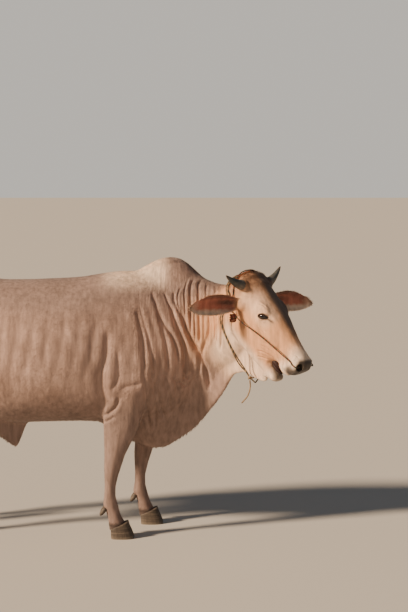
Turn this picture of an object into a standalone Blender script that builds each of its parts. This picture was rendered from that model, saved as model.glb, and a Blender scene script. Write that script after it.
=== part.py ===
"""A pale dun, humped bull of zebu-cross type, life size, standing with its head turned to its right.

Metres, +Z up, the beast faces +X. The body frame below has x = 0 under the top of the hump and y = 0 on
the body's middle plane. FRAME_SHIFT moves it so that the origin lies on the floor, under the box's centre.
"""

import math

import bmesh
import bpy
import numpy as np
from mathutils import Matrix, Vector
from mathutils.bvhtree import BVHTree

# Driving sizes of the body, in the body frame
HUMP_TOP = 1.345
LEG_SPREAD = 0.150
NEAR_FORELEG_X = -0.280
FAR_FORELEG_X = -0.150
NEAR_HINDLEG_X = -1.200
FAR_HINDLEG_X = -1.265
CORONET = 0.070
GAP = 0.0003

# The head's own frame: u runs from the poll to the muzzle, v to the beast's left, w out of the forehead
POLL = Vector((0.399, -0.305, 1.265))
HEAD_SIZE = 0.930
HEAD_YAW = math.radians(42.0)
HEAD_PITCH = math.radians(46.0)
HEAD_ROLL = math.radians(0.0)
JAW_PIVOT = (0.100, -0.130)
JAW_OPEN = math.radians(9.0)
MUZZLE_SLANT = 0.36
EYE = (0.214, 0.0800, -0.050)
EYE_RADIUS = 0.0245
EYE_LOOK = (0.26, 0.84, 0.36)
EYE_CORNERS = (0.75, -0.43, 0.50)
EAR_LENGTH = 0.246

# The tail's switch and the cords it wears
TAIL_X = -1.396
SWITCH_TOP = 0.560
CORD_RADIUS = 0.0036
NOSE_CORD_RADIUS = 0.0030
HALTER_KNOT = (0.118, -0.128, -0.168)
CORD_LIFT = 0.0012
KNOT_RADIUS = 0.0115
THROAT_KNOT = Vector((0.373, -0.288, 0.790))
KNOT_REACH = 0.036

# From the body frame to the part's frame
FRAME_SHIFT = Vector((0.3812, 0.1359, 0.0))

# How fine the flesh is
BODY_VOXEL = 0.0095
BODY_TRIANGLES = 3950
BODY_ROUNDS = 3
HEAD_VOXEL = 0.0055
HEAD_TRIANGLES = 2700
HEAD_ROUNDS = 7
TRUNK_ROUNDS = 26

RIGHT = -1.0
LEFT = 1.0
SIDES = (("right", RIGHT), ("left", LEFT))

FORWARD = Vector((1.0, 0.0, 0.0))
ACROSS = Vector((0.0, 1.0, 0.0))
UP = Vector((0.0, 0.0, 1.0))

for old in list(bpy.data.objects):
    bpy.data.objects.remove(old)

BULL = bpy.data.collections.new("bull")
bpy.context.scene.collection.children.link(BULL)
CUTTERS = bpy.data.collections.new("cutters")
bpy.context.scene.collection.children.link(CUTTERS)


def head_axes():
    """The head's u, v and w in the body frame, as long as HEAD_SIZE."""
    cp, sp = math.cos(HEAD_PITCH), math.sin(HEAD_PITCH)
    cy, sy = math.cos(HEAD_YAW), math.sin(HEAD_YAW)
    u = Vector((cp * cy, -cp * sy, -sp))
    v = Vector((sy, cy, 0.0))
    w = u.cross(v)
    tilted_v = v * math.cos(HEAD_ROLL) + w * math.sin(HEAD_ROLL)
    return u * HEAD_SIZE, tilted_v * HEAD_SIZE, u.cross(tilted_v) * HEAD_SIZE


HEAD_U, HEAD_V, HEAD_W = head_axes()


def head_point(u, v, w):
    return POLL + HEAD_U * u + HEAD_V * v + HEAD_W * w


def head_way(u, v, w):
    """A direction of the head, as long as HEAD_SIZE."""
    return (HEAD_U * u + HEAD_V * v + HEAD_W * w).normalized() * HEAD_SIZE


def jaw_point(u, v, w):
    """A point of the lower jaw, given with the mouth shut, once the jaw has dropped about its pivot."""
    du, dw = u - JAW_PIVOT[0], w - JAW_PIVOT[1]
    turned_u = du * math.cos(JAW_OPEN) + dw * math.sin(JAW_OPEN)
    turned_w = dw * math.cos(JAW_OPEN) - du * math.sin(JAW_OPEN)
    return head_point(JAW_PIVOT[0] + turned_u, v, JAW_PIVOT[1] + turned_w)


def smooth_rows(rows, per_span):
    """A smooth curve through the rows, column by column, with per_span steps between two rows."""
    table = np.array(rows, float)
    padded = np.vstack([2 * table[0] - table[1], table, 2 * table[-1] - table[-2]])
    out = []
    for i in range(1, len(padded) - 2):
        a, b, c, d = padded[i - 1 : i + 3]
        for step in range(per_span):
            t = step / per_span
            square, cube = 2 * a - 5 * b + 4 * c - d, 3 * b - a - 3 * c + d
            out.append(0.5 * (2 * b + (c - a) * t + square * t**2 + cube * t**3))
    out.append(table[-1])
    return out


def ring(centre, side, up, half_width, rise, drop, square_up=2.0, square_down=2.0, sides=28):
    """Points round a section: half_width to each side, rise above its widest line and drop below it."""
    points = []
    for k in range(sides):
        angle = 2 * math.pi * k / sides
        s, c = math.sin(angle), math.cos(angle)
        power = 2.0 / (square_up if c > 0 else square_down)
        across = half_width * math.copysign(abs(s) ** power, s)
        height = (rise if c > 0 else drop) * math.copysign(abs(c) ** power, c)
        points.append(centre + side * across + up * height)
    return points


def object_of(name, bm, collection=None):
    mesh = bpy.data.meshes.new(name)
    bm.to_mesh(mesh)
    bm.free()
    obj = bpy.data.objects.new(name, mesh)
    (collection or BULL).objects.link(obj)
    return obj


def loft(name, rings, collection=None):
    """A closed skin over rings that have the same number of points."""
    bm = bmesh.new()
    loops = [[bm.verts.new(p) for p in points] for points in rings]
    count = len(loops[0])
    for a, b in zip(loops, loops[1:]):
        for k in range(count):
            after = (k + 1) % count
            bm.faces.new((a[k], a[after], b[after], b[k]))
    bm.faces.new(list(reversed(loops[0])))
    bm.faces.new(loops[-1])
    bmesh.ops.recalc_face_normals(bm, faces=bm.faces)
    return object_of(name, bm, collection)


def ellipsoid(name, centre, axes, radii, collection=None, segments=20, rings=12):
    """A sphere stretched to the radii along the three axes, at the centre."""
    bm = bmesh.new()
    bmesh.ops.create_uvsphere(bm, u_segments=segments, v_segments=rings, radius=1.0)
    columns = [axis * radius for axis, radius in zip(axes, radii)]
    place = Matrix((columns[0], columns[1], columns[2])).transposed().to_4x4()
    place.translation = centre
    bmesh.ops.transform(bm, matrix=place, verts=bm.verts)
    bmesh.ops.recalc_face_normals(bm, faces=bm.faces)
    return object_of(name, bm, collection)


def apply_modifiers(obj):
    """Makes what the modifiers show the object's own mesh."""
    graph = bpy.context.evaluated_depsgraph_get()
    mesh = bpy.data.meshes.new_from_object(obj.evaluated_get(graph))
    obj.modifiers.clear()
    obj.data = mesh


def keep_largest(obj):
    """Drops every closed surface of the mesh but the one with the largest box."""
    bm = bmesh.new()
    bm.from_mesh(obj.data)
    bm.verts.ensure_lookup_table()
    seen, groups = set(), []
    for start in bm.verts:
        if start.index in seen:
            continue
        seen.add(start.index)
        group, todo = [], [start]
        while todo:
            vert = todo.pop()
            group.append(vert)
            for edge in vert.link_edges:
                other = edge.other_vert(vert)
                if other.index not in seen:
                    seen.add(other.index)
                    todo.append(other)
        groups.append(group)
    groups.sort(key=lambda g: np.ptp([v.co[:] for v in g], axis=0).prod())
    for group in groups[:-1]:
        bmesh.ops.delete(bm, geom=group, context="VERTS")
    bmesh.ops.dissolve_degenerate(bm, dist=1e-6, edges=bm.edges)
    bmesh.ops.triangulate(bm, faces=bm.faces)
    bm.to_mesh(obj.data)
    bm.free()


def boolean(obj, other, operation, solver="EXACT"):
    """Unites, cuts or intersects obj with other, and applies it."""
    modifier = obj.modifiers.new(operation.lower(), "BOOLEAN")
    modifier.operation = operation
    modifier.solver = solver
    modifier.object = other
    apply_modifiers(obj)


def copy_of(obj, name, collection=None):
    other = bpy.data.objects.new(name, obj.data.copy())
    (collection or CUTTERS).objects.link(other)
    return other


def grown(obj, distance):
    """A copy of a closed mesh with its surface moved out by the distance."""
    other = copy_of(obj, obj.name + "_grown")
    modifier = other.modifiers.new("grow", "DISPLACE")
    modifier.mid_level = 0.0
    modifier.strength = distance
    apply_modifiers(other)
    return other


# Volumes of the flesh, each a closed loft or ellipsoid, which blend into one skin


def torso():
    """The trunk from the buttocks to the breast: x, height of the widest line, half width, rise, drop."""
    rows = (
        (-1.350, 1.000, 0.050, 0.090, 0.120),
        (-1.320, 0.990, 0.110, 0.150, 0.210),
        (-1.240, 0.975, 0.170, 0.225, 0.290),
        (-1.100, 0.965, 0.200, 0.272, 0.310),
        (-0.940, 0.930, 0.228, 0.318, 0.320),
        (-0.790, 0.880, 0.252, 0.352, 0.340),
        (-0.610, 0.855, 0.272, 0.380, 0.315),
        (-0.430, 0.855, 0.266, 0.390, 0.312),
        (-0.270, 0.865, 0.232, 0.405, 0.328),
        (-0.120, 0.865, 0.198, 0.400, 0.320),
        (0.010, 0.865, 0.165, 0.350, 0.290),
        (0.095, 0.870, 0.115, 0.250, 0.220),
        (0.140, 0.880, 0.050, 0.130, 0.110),
    )
    rings = [
        ring(Vector((x, 0, z)), ACROSS, UP, half, rise, drop, 2.25, 2.1, 40)
        for x, z, half, rise, drop in smooth_rows(rows, 4)
    ]
    return loft("torso", rings)


def hip_bones():
    """The hooks and the pins, which stand out of the rump under the skin."""
    made = []
    for name, side in SIDES:
        hook = Vector((-0.950, side * 0.128, 1.150))
        made.append(ellipsoid("hook_" + name, hook, (FORWARD, ACROSS, UP), (0.100, 0.062, 0.060)))
        pin = Vector((-1.272, side * 0.078, 1.075))
        made.append(ellipsoid("pin_" + name, pin, (FORWARD, ACROSS, UP), (0.064, 0.045, 0.058)))
    return made


def hump_volume():
    """The hump over the withers, steeper in front: x, half width, top, and how deep it roots."""
    rows = (
        (-0.190, 0.040, 1.250, 1.10),
        (-0.130, 0.072, 1.296, 1.08),
        (-0.060, 0.090, 1.331, 1.06),
        (0.005, 0.094, HUMP_TOP, 1.05),
        (0.055, 0.086, 1.332, 1.05),
        (0.100, 0.072, 1.300, 1.05),
        (0.150, 0.052, 1.252, 1.05),
        (0.185, 0.030, 1.205, 1.06),
    )
    rings = []
    for x, half, top, root in smooth_rows(rows, 4):
        rings.append(ring(Vector((x, 0, root + 0.06)), ACROSS, UP, half, top - root - 0.06, 0.06, 2.3, 2.0))
    return loft("hump_volume", rings)


def neck_path():
    """Plan place and heading of the neck: x, y, heading in degrees towards the beast's right."""
    return (
        (-0.060, 0.000, 0.0),
        (0.060, 0.000, 8.0),
        (0.140, -0.020, 24.0),
        (0.210, -0.066, 38.0),
        (0.270, -0.122, 46.0),
        (0.325, -0.182, 49.0),
        (0.372, -0.238, 50.0),
    )


def neck():
    """The neck without its dewlap: height of the widest line, half width, rise, drop at each place."""
    shape = (
        (0.990, 0.150, 0.280, 0.300),
        (0.985, 0.150, 0.285, 0.300),
        (0.985, 0.130, 0.262, 0.280),
        (0.995, 0.112, 0.228, 0.255),
        (1.020, 0.100, 0.196, 0.225),
        (1.050, 0.094, 0.180, 0.200),
        (1.080, 0.088, 0.150, 0.170),
    )
    rows = [place + sizes for place, sizes in zip(neck_path(), shape)]
    rings = []
    for x, y, turn, z, half, rise, drop in smooth_rows(rows, 5):
        side = Vector((math.sin(math.radians(turn)), math.cos(math.radians(turn)), 0))
        rings.append(ring(Vector((x, y, z)), side, UP, half, rise, drop, 1.9, 1.9, 36))
    return loft("neck_volume", rings)


def wedge(centre, side, up, top_half, bottom_half, power, rise, drop, sides=28):
    """Points round a section that narrows downward, and is the more a thin sheet the higher the power."""
    points = []
    for k in range(sides):
        angle = 2 * math.pi * k / sides
        s, c = math.sin(angle), math.cos(angle)
        height = (rise if c > 0 else drop) * math.copysign(abs(c) ** 0.8, c)
        share = (height + drop) / (rise + drop)
        half = bottom_half + (top_half - bottom_half) * share**power
        points.append(centre + side * half * math.copysign(abs(s) ** 0.8, s) + up * height)
    return points


def dewlap():
    """The loose skin from the chin to the brisket.

    x, y, heading, top, bottom, half width above and below, and how sheet-like it is.
    """
    rows = (
        (-0.340, 0.000, 0.0, 0.740, 0.530, 0.110, 0.050, 0.8),
        (-0.260, 0.000, 0.0, 0.800, 0.480, 0.165, 0.030, 0.8),
        (-0.180, 0.000, 0.0, 0.860, 0.432, 0.190, 0.020, 0.8),
        (-0.100, 0.000, 0.0, 0.900, 0.404, 0.190, 0.016, 0.8),
        (-0.030, 0.000, 0.0, 0.920, 0.406, 0.178, 0.015, 0.85),
        (0.050, -0.003, 10.0, 0.940, 0.452, 0.154, 0.015, 0.95),
        (0.125, -0.024, 26.0, 0.960, 0.512, 0.124, 0.014, 1.1),
        (0.195, -0.066, 38.0, 0.980, 0.594, 0.094, 0.014, 1.4),
        (0.262, -0.128, 46.0, 0.980, 0.688, 0.066, 0.014, 1.7),
        (0.305, -0.172, 46.0, 1.000, 0.772, 0.052, 0.014, 2.0),
        (0.350, -0.218, 46.0, 1.000, 0.800, 0.046, 0.014, 2.0),
        (0.395, -0.265, 46.0, 0.960, 0.784, 0.040, 0.013, 2.0),
        (0.430, -0.300, 46.0, 0.920, 0.772, 0.034, 0.014, 2.0),
        (0.456, -0.328, 46.0, 0.880, 0.774, 0.026, 0.014, 2.0),
    )
    rings = []
    for x, y, turn, top, bottom, above, below, power in smooth_rows(rows, 4):
        side = Vector((math.sin(math.radians(turn)), math.cos(math.radians(turn)), 0))
        middle = 0.5 * (top + bottom)
        place = Vector((x, y, middle))
        rings.append(wedge(place, side, UP, above, below, power, top - middle, middle - bottom))
    return loft("dewlap_volume", rings)


def foreleg(name, side, leg_x):
    """Shoulder, upper arm, forearm, knee, cannon and pastern: x, y, z, half length, half width."""
    rows = (
        (0.130, 0.070, 1.150, 0.075, 0.045),
        (0.120, 0.090, 1.070, 0.120, 0.066),
        (0.120, 0.108, 0.970, 0.150, 0.082),
        (0.110, 0.124, 0.870, 0.160, 0.088),
        (0.088, 0.136, 0.780, 0.142, 0.084),
        (0.068, 0.144, 0.700, 0.116, 0.074),
        (0.060, 0.148, 0.620, 0.101, 0.062),
        (0.046, LEG_SPREAD, 0.540, 0.088, 0.054),
        (0.028, LEG_SPREAD, 0.460, 0.068, 0.047),
        (0.014, LEG_SPREAD, 0.400, 0.052, 0.043),
        (0.006, LEG_SPREAD, 0.355, 0.046, 0.043),
        (-0.002, LEG_SPREAD, 0.305, 0.037, 0.035),
        (-0.008, LEG_SPREAD, 0.250, 0.030, 0.028),
        (-0.010, LEG_SPREAD, 0.200, 0.031, 0.029),
        (-0.008, LEG_SPREAD, 0.160, 0.038, 0.037),
        (0.008, LEG_SPREAD, 0.118, 0.034, 0.034),
        (0.026, LEG_SPREAD, CORONET + 0.008, 0.043, 0.041),
        (0.030, LEG_SPREAD, CORONET - 0.030, 0.045, 0.041),
    )
    rings = [
        ring(Vector((leg_x + x, side * y, z)), ACROSS, FORWARD, half_width, half, half, 2.1, 2.0, 24)
        for x, y, z, half, half_width in smooth_rows(rows, 3)
    ]
    return loft("foreleg_volume_" + name, rings)


def hindleg(name, side, leg_x):
    """Thigh, gaskin, hock, cannon and pastern: x, y, z, half length, half width."""
    rows = (
        (0.120, 0.075, 1.080, 0.110, 0.050),
        (0.115, 0.104, 0.980, 0.170, 0.078),
        (0.110, 0.124, 0.880, 0.192, 0.092),
        (0.105, 0.136, 0.780, 0.180, 0.092),
        (0.095, 0.143, 0.690, 0.146, 0.080),
        (0.060, 0.146, 0.610, 0.104, 0.064),
        (0.012, 0.147, 0.535, 0.074, 0.049),
        (-0.030, 0.146, 0.475, 0.058, 0.040),
        (-0.048, 0.145, 0.430, 0.058, 0.039),
        (-0.044, 0.145, 0.380, 0.047, 0.035),
        (-0.034, 0.145, 0.320, 0.036, 0.030),
        (-0.026, 0.145, 0.240, 0.032, 0.028),
        (-0.020, 0.145, 0.190, 0.034, 0.031),
        (-0.016, 0.145, 0.158, 0.040, 0.037),
        (0.000, 0.145, 0.118, 0.034, 0.033),
        (0.020, 0.145, CORONET + 0.008, 0.042, 0.040),
        (0.024, 0.145, CORONET - 0.030, 0.044, 0.040),
    )
    rings = [
        ring(Vector((leg_x + x, side * y, z)), ACROSS, FORWARD, half_width, half, half, 2.1, 2.0, 24)
        for x, y, z, half, half_width in smooth_rows(rows, 3)
    ]
    return loft("hindleg_volume_" + name, rings)


def skull():
    """The head above the mouth: u, height of the widest line, half width, rise, drop, squareness above."""
    rows = (
        (-0.055, -0.115, 0.065, 0.050, 0.045, 2.0),
        (-0.030, -0.100, 0.092, 0.082, 0.070, 2.2),
        (0.015, -0.090, 0.106, 0.098, 0.090, 2.4),
        (0.080, -0.085, 0.108, 0.096, 0.110, 2.4),
        (0.145, -0.080, 0.104, 0.086, 0.125, 2.5),
        (0.205, -0.076, 0.101, 0.078, 0.130, 2.6),
        (0.265, -0.080, 0.090, 0.078, 0.122, 2.5),
        (0.335, -0.086, 0.073, 0.075, 0.108, 2.3),
        (0.400, -0.088, 0.060, 0.067, 0.094, 2.2),
        (0.450, -0.089, 0.056, 0.062, 0.086, 2.3),
        (0.490, -0.091, 0.057, 0.056, 0.080, 2.5),
        (0.518, -0.094, 0.053, 0.046, 0.072, 2.6),
        (0.536, -0.098, 0.039, 0.029, 0.052, 2.4),
    )
    rings = []
    for u, w, half, rise, drop, square in smooth_rows(rows, 4):
        slant = MUZZLE_SLANT * min(max((u - 0.38) / 0.12, 0.0), 1.0)
        up = HEAD_W + HEAD_U * slant
        rings.append(ring(head_point(u, 0, w), HEAD_V, up, half, rise, drop, square, 2.1, 32))
    return loft("skull_volume", rings)


def jaw():
    """The lower jaw, given shut and then dropped: u, height of the widest line, half width, rise, drop."""
    rows = (
        (0.040, -0.195, 0.058, 0.060, 0.062),
        (0.080, -0.200, 0.080, 0.080, 0.082),
        (0.140, -0.202, 0.088, 0.080, 0.088),
        (0.200, -0.202, 0.082, 0.075, 0.082),
        (0.270, -0.200, 0.068, 0.060, 0.068),
        (0.340, -0.198, 0.056, 0.045, 0.052),
        (0.400, -0.194, 0.049, 0.030, 0.040),
        (0.440, -0.189, 0.046, 0.025, 0.034),
        (0.466, -0.184, 0.043, 0.022, 0.030),
        (0.486, -0.180, 0.028, 0.012, 0.018),
    )
    rings = []
    for u, w, half, rise, drop in smooth_rows(rows, 4):
        centre = jaw_point(u, 0, w)
        up = jaw_point(u, 0, w + 1.0) - centre
        rings.append(ring(centre, HEAD_V, up, half, rise, drop, 2.2, 2.1, 28))
    return loft("jaw_volume", rings)


def head_forms():
    """Brows, cheeks, nostril wings, lips, poll and chin, as (name, u, v, w, three radii)."""
    paired = (
        ("brow", 0.186, 0.070, -0.031, 0.062, 0.027, 0.028),
        ("cheek_bone", 0.285, 0.066, -0.092, 0.100, 0.022, 0.026),
        ("nostril_wing", 0.498, 0.041, -0.078, 0.034, 0.026, 0.036),
        ("upper_lip", 0.462, 0.031, -0.142, 0.052, 0.027, 0.036),
        ("lids", EYE[0], EYE[1] + 0.001, EYE[2] + 0.001, 0.038, 0.0280, 0.032),
        ("horn_root", 0.026, 0.090, -0.030, 0.032, 0.026, 0.028),
        ("ear_root", 0.090, 0.106, -0.100, 0.036, 0.023, 0.031),
    )
    axes = (HEAD_U, HEAD_V, HEAD_W)
    made = [ellipsoid("poll_form", head_point(-0.006, 0, -0.026), axes, (0.044, 0.096, 0.036))]
    made.append(ellipsoid("cheeks", head_point(0.250, 0, -0.175), axes, (0.155, 0.078, 0.100)))
    for form, u, v, w, *radii in paired:
        for name, side in SIDES:
            made.append(ellipsoid(form + "_" + name, head_point(u, side * v, w), axes, radii))
    made.append(ellipsoid("chin_form", jaw_point(0.438, 0, -0.200), axes, (0.044, 0.038, 0.030)))
    return made


def sheath():
    """The loose fold that hangs from the belly and comes to a point in front: x, top, bottom, half."""
    rows = (
        (-1.020, 0.690, 0.600, 0.016),
        (-0.950, 0.680, 0.545, 0.024),
        (-0.880, 0.660, 0.492, 0.028),
        (-0.820, 0.650, 0.452, 0.029),
        (-0.775, 0.640, 0.418, 0.028),
        (-0.748, 0.630, 0.408, 0.024),
        (-0.728, 0.620, 0.455, 0.020),
        (-0.700, 0.620, 0.520, 0.016),
    )
    rings = []
    for x, top, bottom, half in smooth_rows(rows, 4):
        middle = 0.5 * (top + bottom)
        centre = Vector((x, 0, middle))
        rings.append(ring(centre, ACROSS, UP, half, top - middle, middle - bottom, 2.2, 2.4, 20))
    return loft("sheath_volume", rings)


def scrotum():
    """A pear between the thighs: z, x, half length, half width."""
    rows = (
        (0.700, -1.130, 0.030, 0.032),
        (0.650, -1.132, 0.032, 0.036),
        (0.600, -1.134, 0.042, 0.048),
        (0.550, -1.136, 0.050, 0.056),
        (0.515, -1.137, 0.042, 0.048),
        (0.497, -1.138, 0.020, 0.024),
    )
    rings = [
        ring(Vector((x, 0, z)), ACROSS, FORWARD, half_width, half, half, 2.0, 2.0, 20)
        for z, x, half, half_width in smooth_rows(rows, 4)
    ]
    return loft("scrotum_volume", rings)


def dock():
    """The tail from its root on the rump to the start of its switch: x, z, half thickness."""
    rows = (
        (-1.230, 1.140, 0.042),
        (-1.300, 1.155, 0.040),
        (-1.355, 1.135, 0.035),
        (-1.390, 1.080, 0.029),
        (-1.402, 1.000, 0.024),
        (-1.402, 0.880, 0.020),
        (-1.398, 0.760, 0.017),
        (-1.396, 0.640, 0.014),
        (-1.396, 0.560, 0.012),
    )
    points = smooth_rows(rows, 4)
    rings = []
    for i, (x, z, half) in enumerate(points):
        before, after = points[max(i - 1, 0)], points[min(i + 1, len(points) - 1)]
        along = Vector((after[0] - before[0], 0, after[1] - before[1])).normalized()
        rings.append(ring(Vector((x, 0, z)), ACROSS, along.cross(ACROSS), half, half, half, 2.0, 2.0, 16))
    return loft("dock_volume", rings)


def fused(name, volumes, voxel, rounds, triangles):
    """The volumes as one skin: fused in voxels, smoothed, and thinned where it is plain."""
    bm = bmesh.new()
    for volume in volumes:
        bm.from_mesh(volume.data)
        bpy.data.objects.remove(volume)
    skin = object_of(name, bm, CUTTERS)
    remesh = skin.modifiers.new("fuse", "REMESH")
    remesh.mode = "VOXEL"
    remesh.voxel_size = voxel
    apply_modifiers(skin)
    keep_largest(skin)
    soften(skin, rounds, triangles)
    return skin


def soften(skin, rounds, triangles):
    """Smooths the whole skin by the rounds and the trunk more, then thins the mesh."""
    trunk = skin.vertex_groups.new(name="trunk")
    for vert in skin.data.vertices:
        x, _, z = vert.co
        to_head = (vert.co - head_point(0.22, 0, -0.12)).length
        body = min(1.0, max(0.0, (z - 0.55) / 0.15))
        body *= min(1.0, max(0.0, (to_head - 0.30) / 0.12))
        body *= min(1.0, max(0.0, (x + 1.34) / 0.05))
        trunk.add([vert.index], body, "REPLACE")
    for group, count in (("", rounds), ("trunk", TRUNK_ROUNDS)):
        smooth = skin.modifiers.new("smooth", "SMOOTH")
        smooth.factor = 0.5
        smooth.iterations = count
        smooth.vertex_group = group
    apply_modifiers(skin)
    skin.vertex_groups.clear()
    skin.data.calc_loop_triangles()
    thin = skin.modifiers.new("thin", "DECIMATE")
    thin.ratio = min(1.0, triangles / len(skin.data.loop_triangles))
    apply_modifiers(skin)


def front_volumes():
    return [neck(), dewlap(), skull(), jaw()] + head_forms()


def body_flesh():
    volumes = [torso(), hump_volume(), sheath(), scrotum(), dock()] + front_volumes() + hip_bones()
    volumes.append(foreleg("right", RIGHT, NEAR_FORELEG_X))
    volumes.append(foreleg("left", LEFT, FAR_FORELEG_X))
    volumes.append(hindleg("right", RIGHT, NEAR_HINDLEG_X))
    volumes.append(hindleg("left", LEFT, FAR_HINDLEG_X))
    return fused("body_flesh", volumes, BODY_VOXEL, BODY_ROUNDS, BODY_TRIANGLES)


def region(planes, margin):
    """The space behind all the planes, each a point and an outward normal, moved out by the margin."""
    bm = bmesh.new()
    bmesh.ops.create_cube(bm, size=8.0)
    for point, normal in planes:
        cut = bmesh.ops.bisect_plane(
            bm,
            geom=bm.verts[:] + bm.edges[:] + bm.faces[:],
            plane_co=point + normal.normalized() * margin,
            plane_no=normal,
            clear_outer=True,
        )
        rim = [e for e in cut["geom_cut"] if isinstance(e, bmesh.types.BMEdge)]
        bmesh.ops.edgeloop_fill(bm, edges=rim)
    bmesh.ops.recalc_face_normals(bm, faces=bm.faces)
    return object_of("region", bm, CUTTERS)


def part_off(source, name, planes):
    """Takes the piece of the source behind the planes as a node of its own, a thin gap away."""
    inside, outside = region(planes, -0.5 * GAP), region(planes, 0.5 * GAP)
    piece = copy_of(source, name, BULL)
    boolean(piece, inside, "INTERSECT")
    keep_largest(piece)
    boolean(source, outside, "DIFFERENCE")
    bpy.data.objects.remove(inside)
    bpy.data.objects.remove(outside)
    return piece


def box_planes(low, high):
    """Planes round a box in the body frame; None leaves that side open."""
    planes = []
    for axis, (near, far) in enumerate(zip(low, high)):
        for limit, sign in ((near, -1.0), (far, 1.0)):
            if limit is not None:
                normal = Vector((0, 0, 0))
                normal[axis] = sign
                planes.append((normal * sign * limit, normal))
    return planes


def sole_plane(leg_x, top):
    """The slanted plane where the foot meets its claws, highest at the toe."""
    return Vector((leg_x + 0.030, 0, top)), Vector((-0.42, 0, 1.0))


HEAD_PLANES = (
    (head_point(0.020, 0, -0.150), -(HEAD_U * 0.90 + HEAD_W * 0.30)),
    (Vector((0.332, -0.238, 1.0)), Vector((-0.72, 0.69, 0.0))),
)


def clear(source, planes):
    """Removes the part of the source behind the planes, with half of the thin gap."""
    outside = region(planes, 0.5 * GAP)
    boolean(source, outside, "DIFFERENCE")
    bpy.data.objects.remove(outside)


def part_leg(flesh, kind, name, side, leg_x, knee, inner, top, slope, back, front):
    """Takes one leg off the trunk below a plane that rises outward, and parts it under its knee."""
    point = Vector((0, side * inner, top))
    walls = box_planes((leg_x - back, None, None), (leg_x + front, None, None))
    walls.append((point, Vector((0, -side * slope, 1.0))))
    walls.append((point, Vector((0, -side, 0))))
    upper = part_off(flesh, kind + "leg_upper_" + name, walls)
    clear(upper, [sole_plane(leg_x, CORONET - 0.008)])
    part_off(upper, kind + "leg_lower_" + name, box_planes((None, None, None), (None, None, knee)))


def part_body(flesh):
    """Parts the flesh behind the head into its nodes."""
    copy_of(flesh, "whole_body")
    clear(flesh, HEAD_PLANES)
    part_off(flesh, "sheath", box_planes((-1.08, -0.10, None), (-0.66, 0.10, 0.532)))
    part_off(flesh, "scrotum", box_planes((-1.22, -0.070, None), (-1.07, 0.070, 0.640)))
    part_off(flesh, "tail", box_planes((None, None, None), (-1.353, None, None)))
    for name, side in SIDES:
        fore_x = NEAR_FORELEG_X if side == RIGHT else FAR_FORELEG_X
        hind_x = NEAR_HINDLEG_X if side == RIGHT else FAR_HINDLEG_X
        part_leg(flesh, "fore", name, side, fore_x, 0.420, 0.080, 0.575, 0.85, 0.17, 0.23)
        part_leg(flesh, "hind", name, side, hind_x, 0.500, 0.040, 0.640, 0.70, 0.16, 0.36)
    hump_planes = box_planes((-0.235, None, None), (0.150, None, None))
    hump_planes.append((Vector((0.0, 0, 1.222)), Vector((0.06, 0, -1.0))))
    part_off(flesh, "hump", hump_planes)
    front = part_off(flesh, "neck", [(Vector((0.085, 0, 1.0)), Vector((-1.0, 0.28, 0.10)))])
    part_off(front, "dewlap", [(Vector((0.100, 0, 0.700)), Vector((-0.80, 0, 1.0)))])
    keep_largest(copy_of(flesh, "torso", BULL))


def eyeball(name, side):
    return ellipsoid(
        "eye_" + name, head_point(EYE[0], side * EYE[1], EYE[2]), (HEAD_U, HEAD_V, HEAD_W),
        (EYE_RADIUS, EYE_RADIUS, EYE_RADIUS), BULL, 16, 10,
    )


def nostril_axes(side):
    """A nostril is a comma that opens forward and outward."""
    deep = (HEAD_U * 0.88 + HEAD_V * side * 0.47).normalized() * HEAD_SIZE
    tall = (HEAD_W * 0.85 + HEAD_V * side * 0.45).normalized() * HEAD_SIZE
    return deep, deep.cross(tall).normalized() * HEAD_SIZE, tall


def part_head():
    """The head and the lower jaw, with the openings of the lids and the nostrils."""
    flesh = fused("head_flesh", front_volumes(), HEAD_VOXEL, HEAD_ROUNDS, HEAD_TRIANGLES)
    copy_of(flesh, "whole_head")
    head = part_off(flesh, "head", HEAD_PLANES)
    for name, side in SIDES:
        eye = eyeball(name, side)
        socket = grown(eye, 0.0005)
        look, corners = (head_way(u, side * v, w) for u, v, w in (EYE_LOOK, EYE_CORNERS))
        slit = head_point(EYE[0], side * EYE[1], EYE[2]) + look * 0.027
        open_axes = (corners, look.cross(corners).normalized() * HEAD_SIZE, look)
        lids = ellipsoid("slit_" + name, slit, open_axes, (0.0250, 0.0145, 0.024), CUTTERS)
        deep, thin, tall = nostril_axes(side)
        place = head_point(0.518, side * 0.039, -0.074)
        nostril = ellipsoid("nostril_" + name, place, (deep, thin, tall), (0.042, 0.0150, 0.0215), CUTTERS)
        for cutter in (socket, lids, nostril):
            boolean(head, cutter, "DIFFERENCE")
            bpy.data.objects.remove(cutter)
    tilt = 0.5 * JAW_OPEN
    mouth_plane = (head_point(0.405, 0, -0.176), HEAD_W * math.cos(tilt) + HEAD_U * math.sin(tilt))
    part_off(head, "lower_jaw", [mouth_plane])
    keep_largest(head)
    bpy.data.objects.remove(flesh)
    return head


def crescent(centre, across, back, half, depth, wall, steps=9):
    """A section of an ear: an outer half ellipse and, inside it, the hollow of the cup."""
    points = []
    for k in range(steps):
        angle = math.pi * (k / (steps - 1) - 0.5)
        points.append(centre + across * half * math.sin(angle) + back * depth * math.cos(angle))
    for k in range(steps):
        angle = math.pi * (0.5 - k / (steps - 1))
        inner_half, inner_depth = max(half - wall, 0.0004), max(depth - wall, 0.0004)
        points.append(centre + across * inner_half * math.sin(angle) + back * inner_depth * math.cos(angle))
    return points


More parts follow.
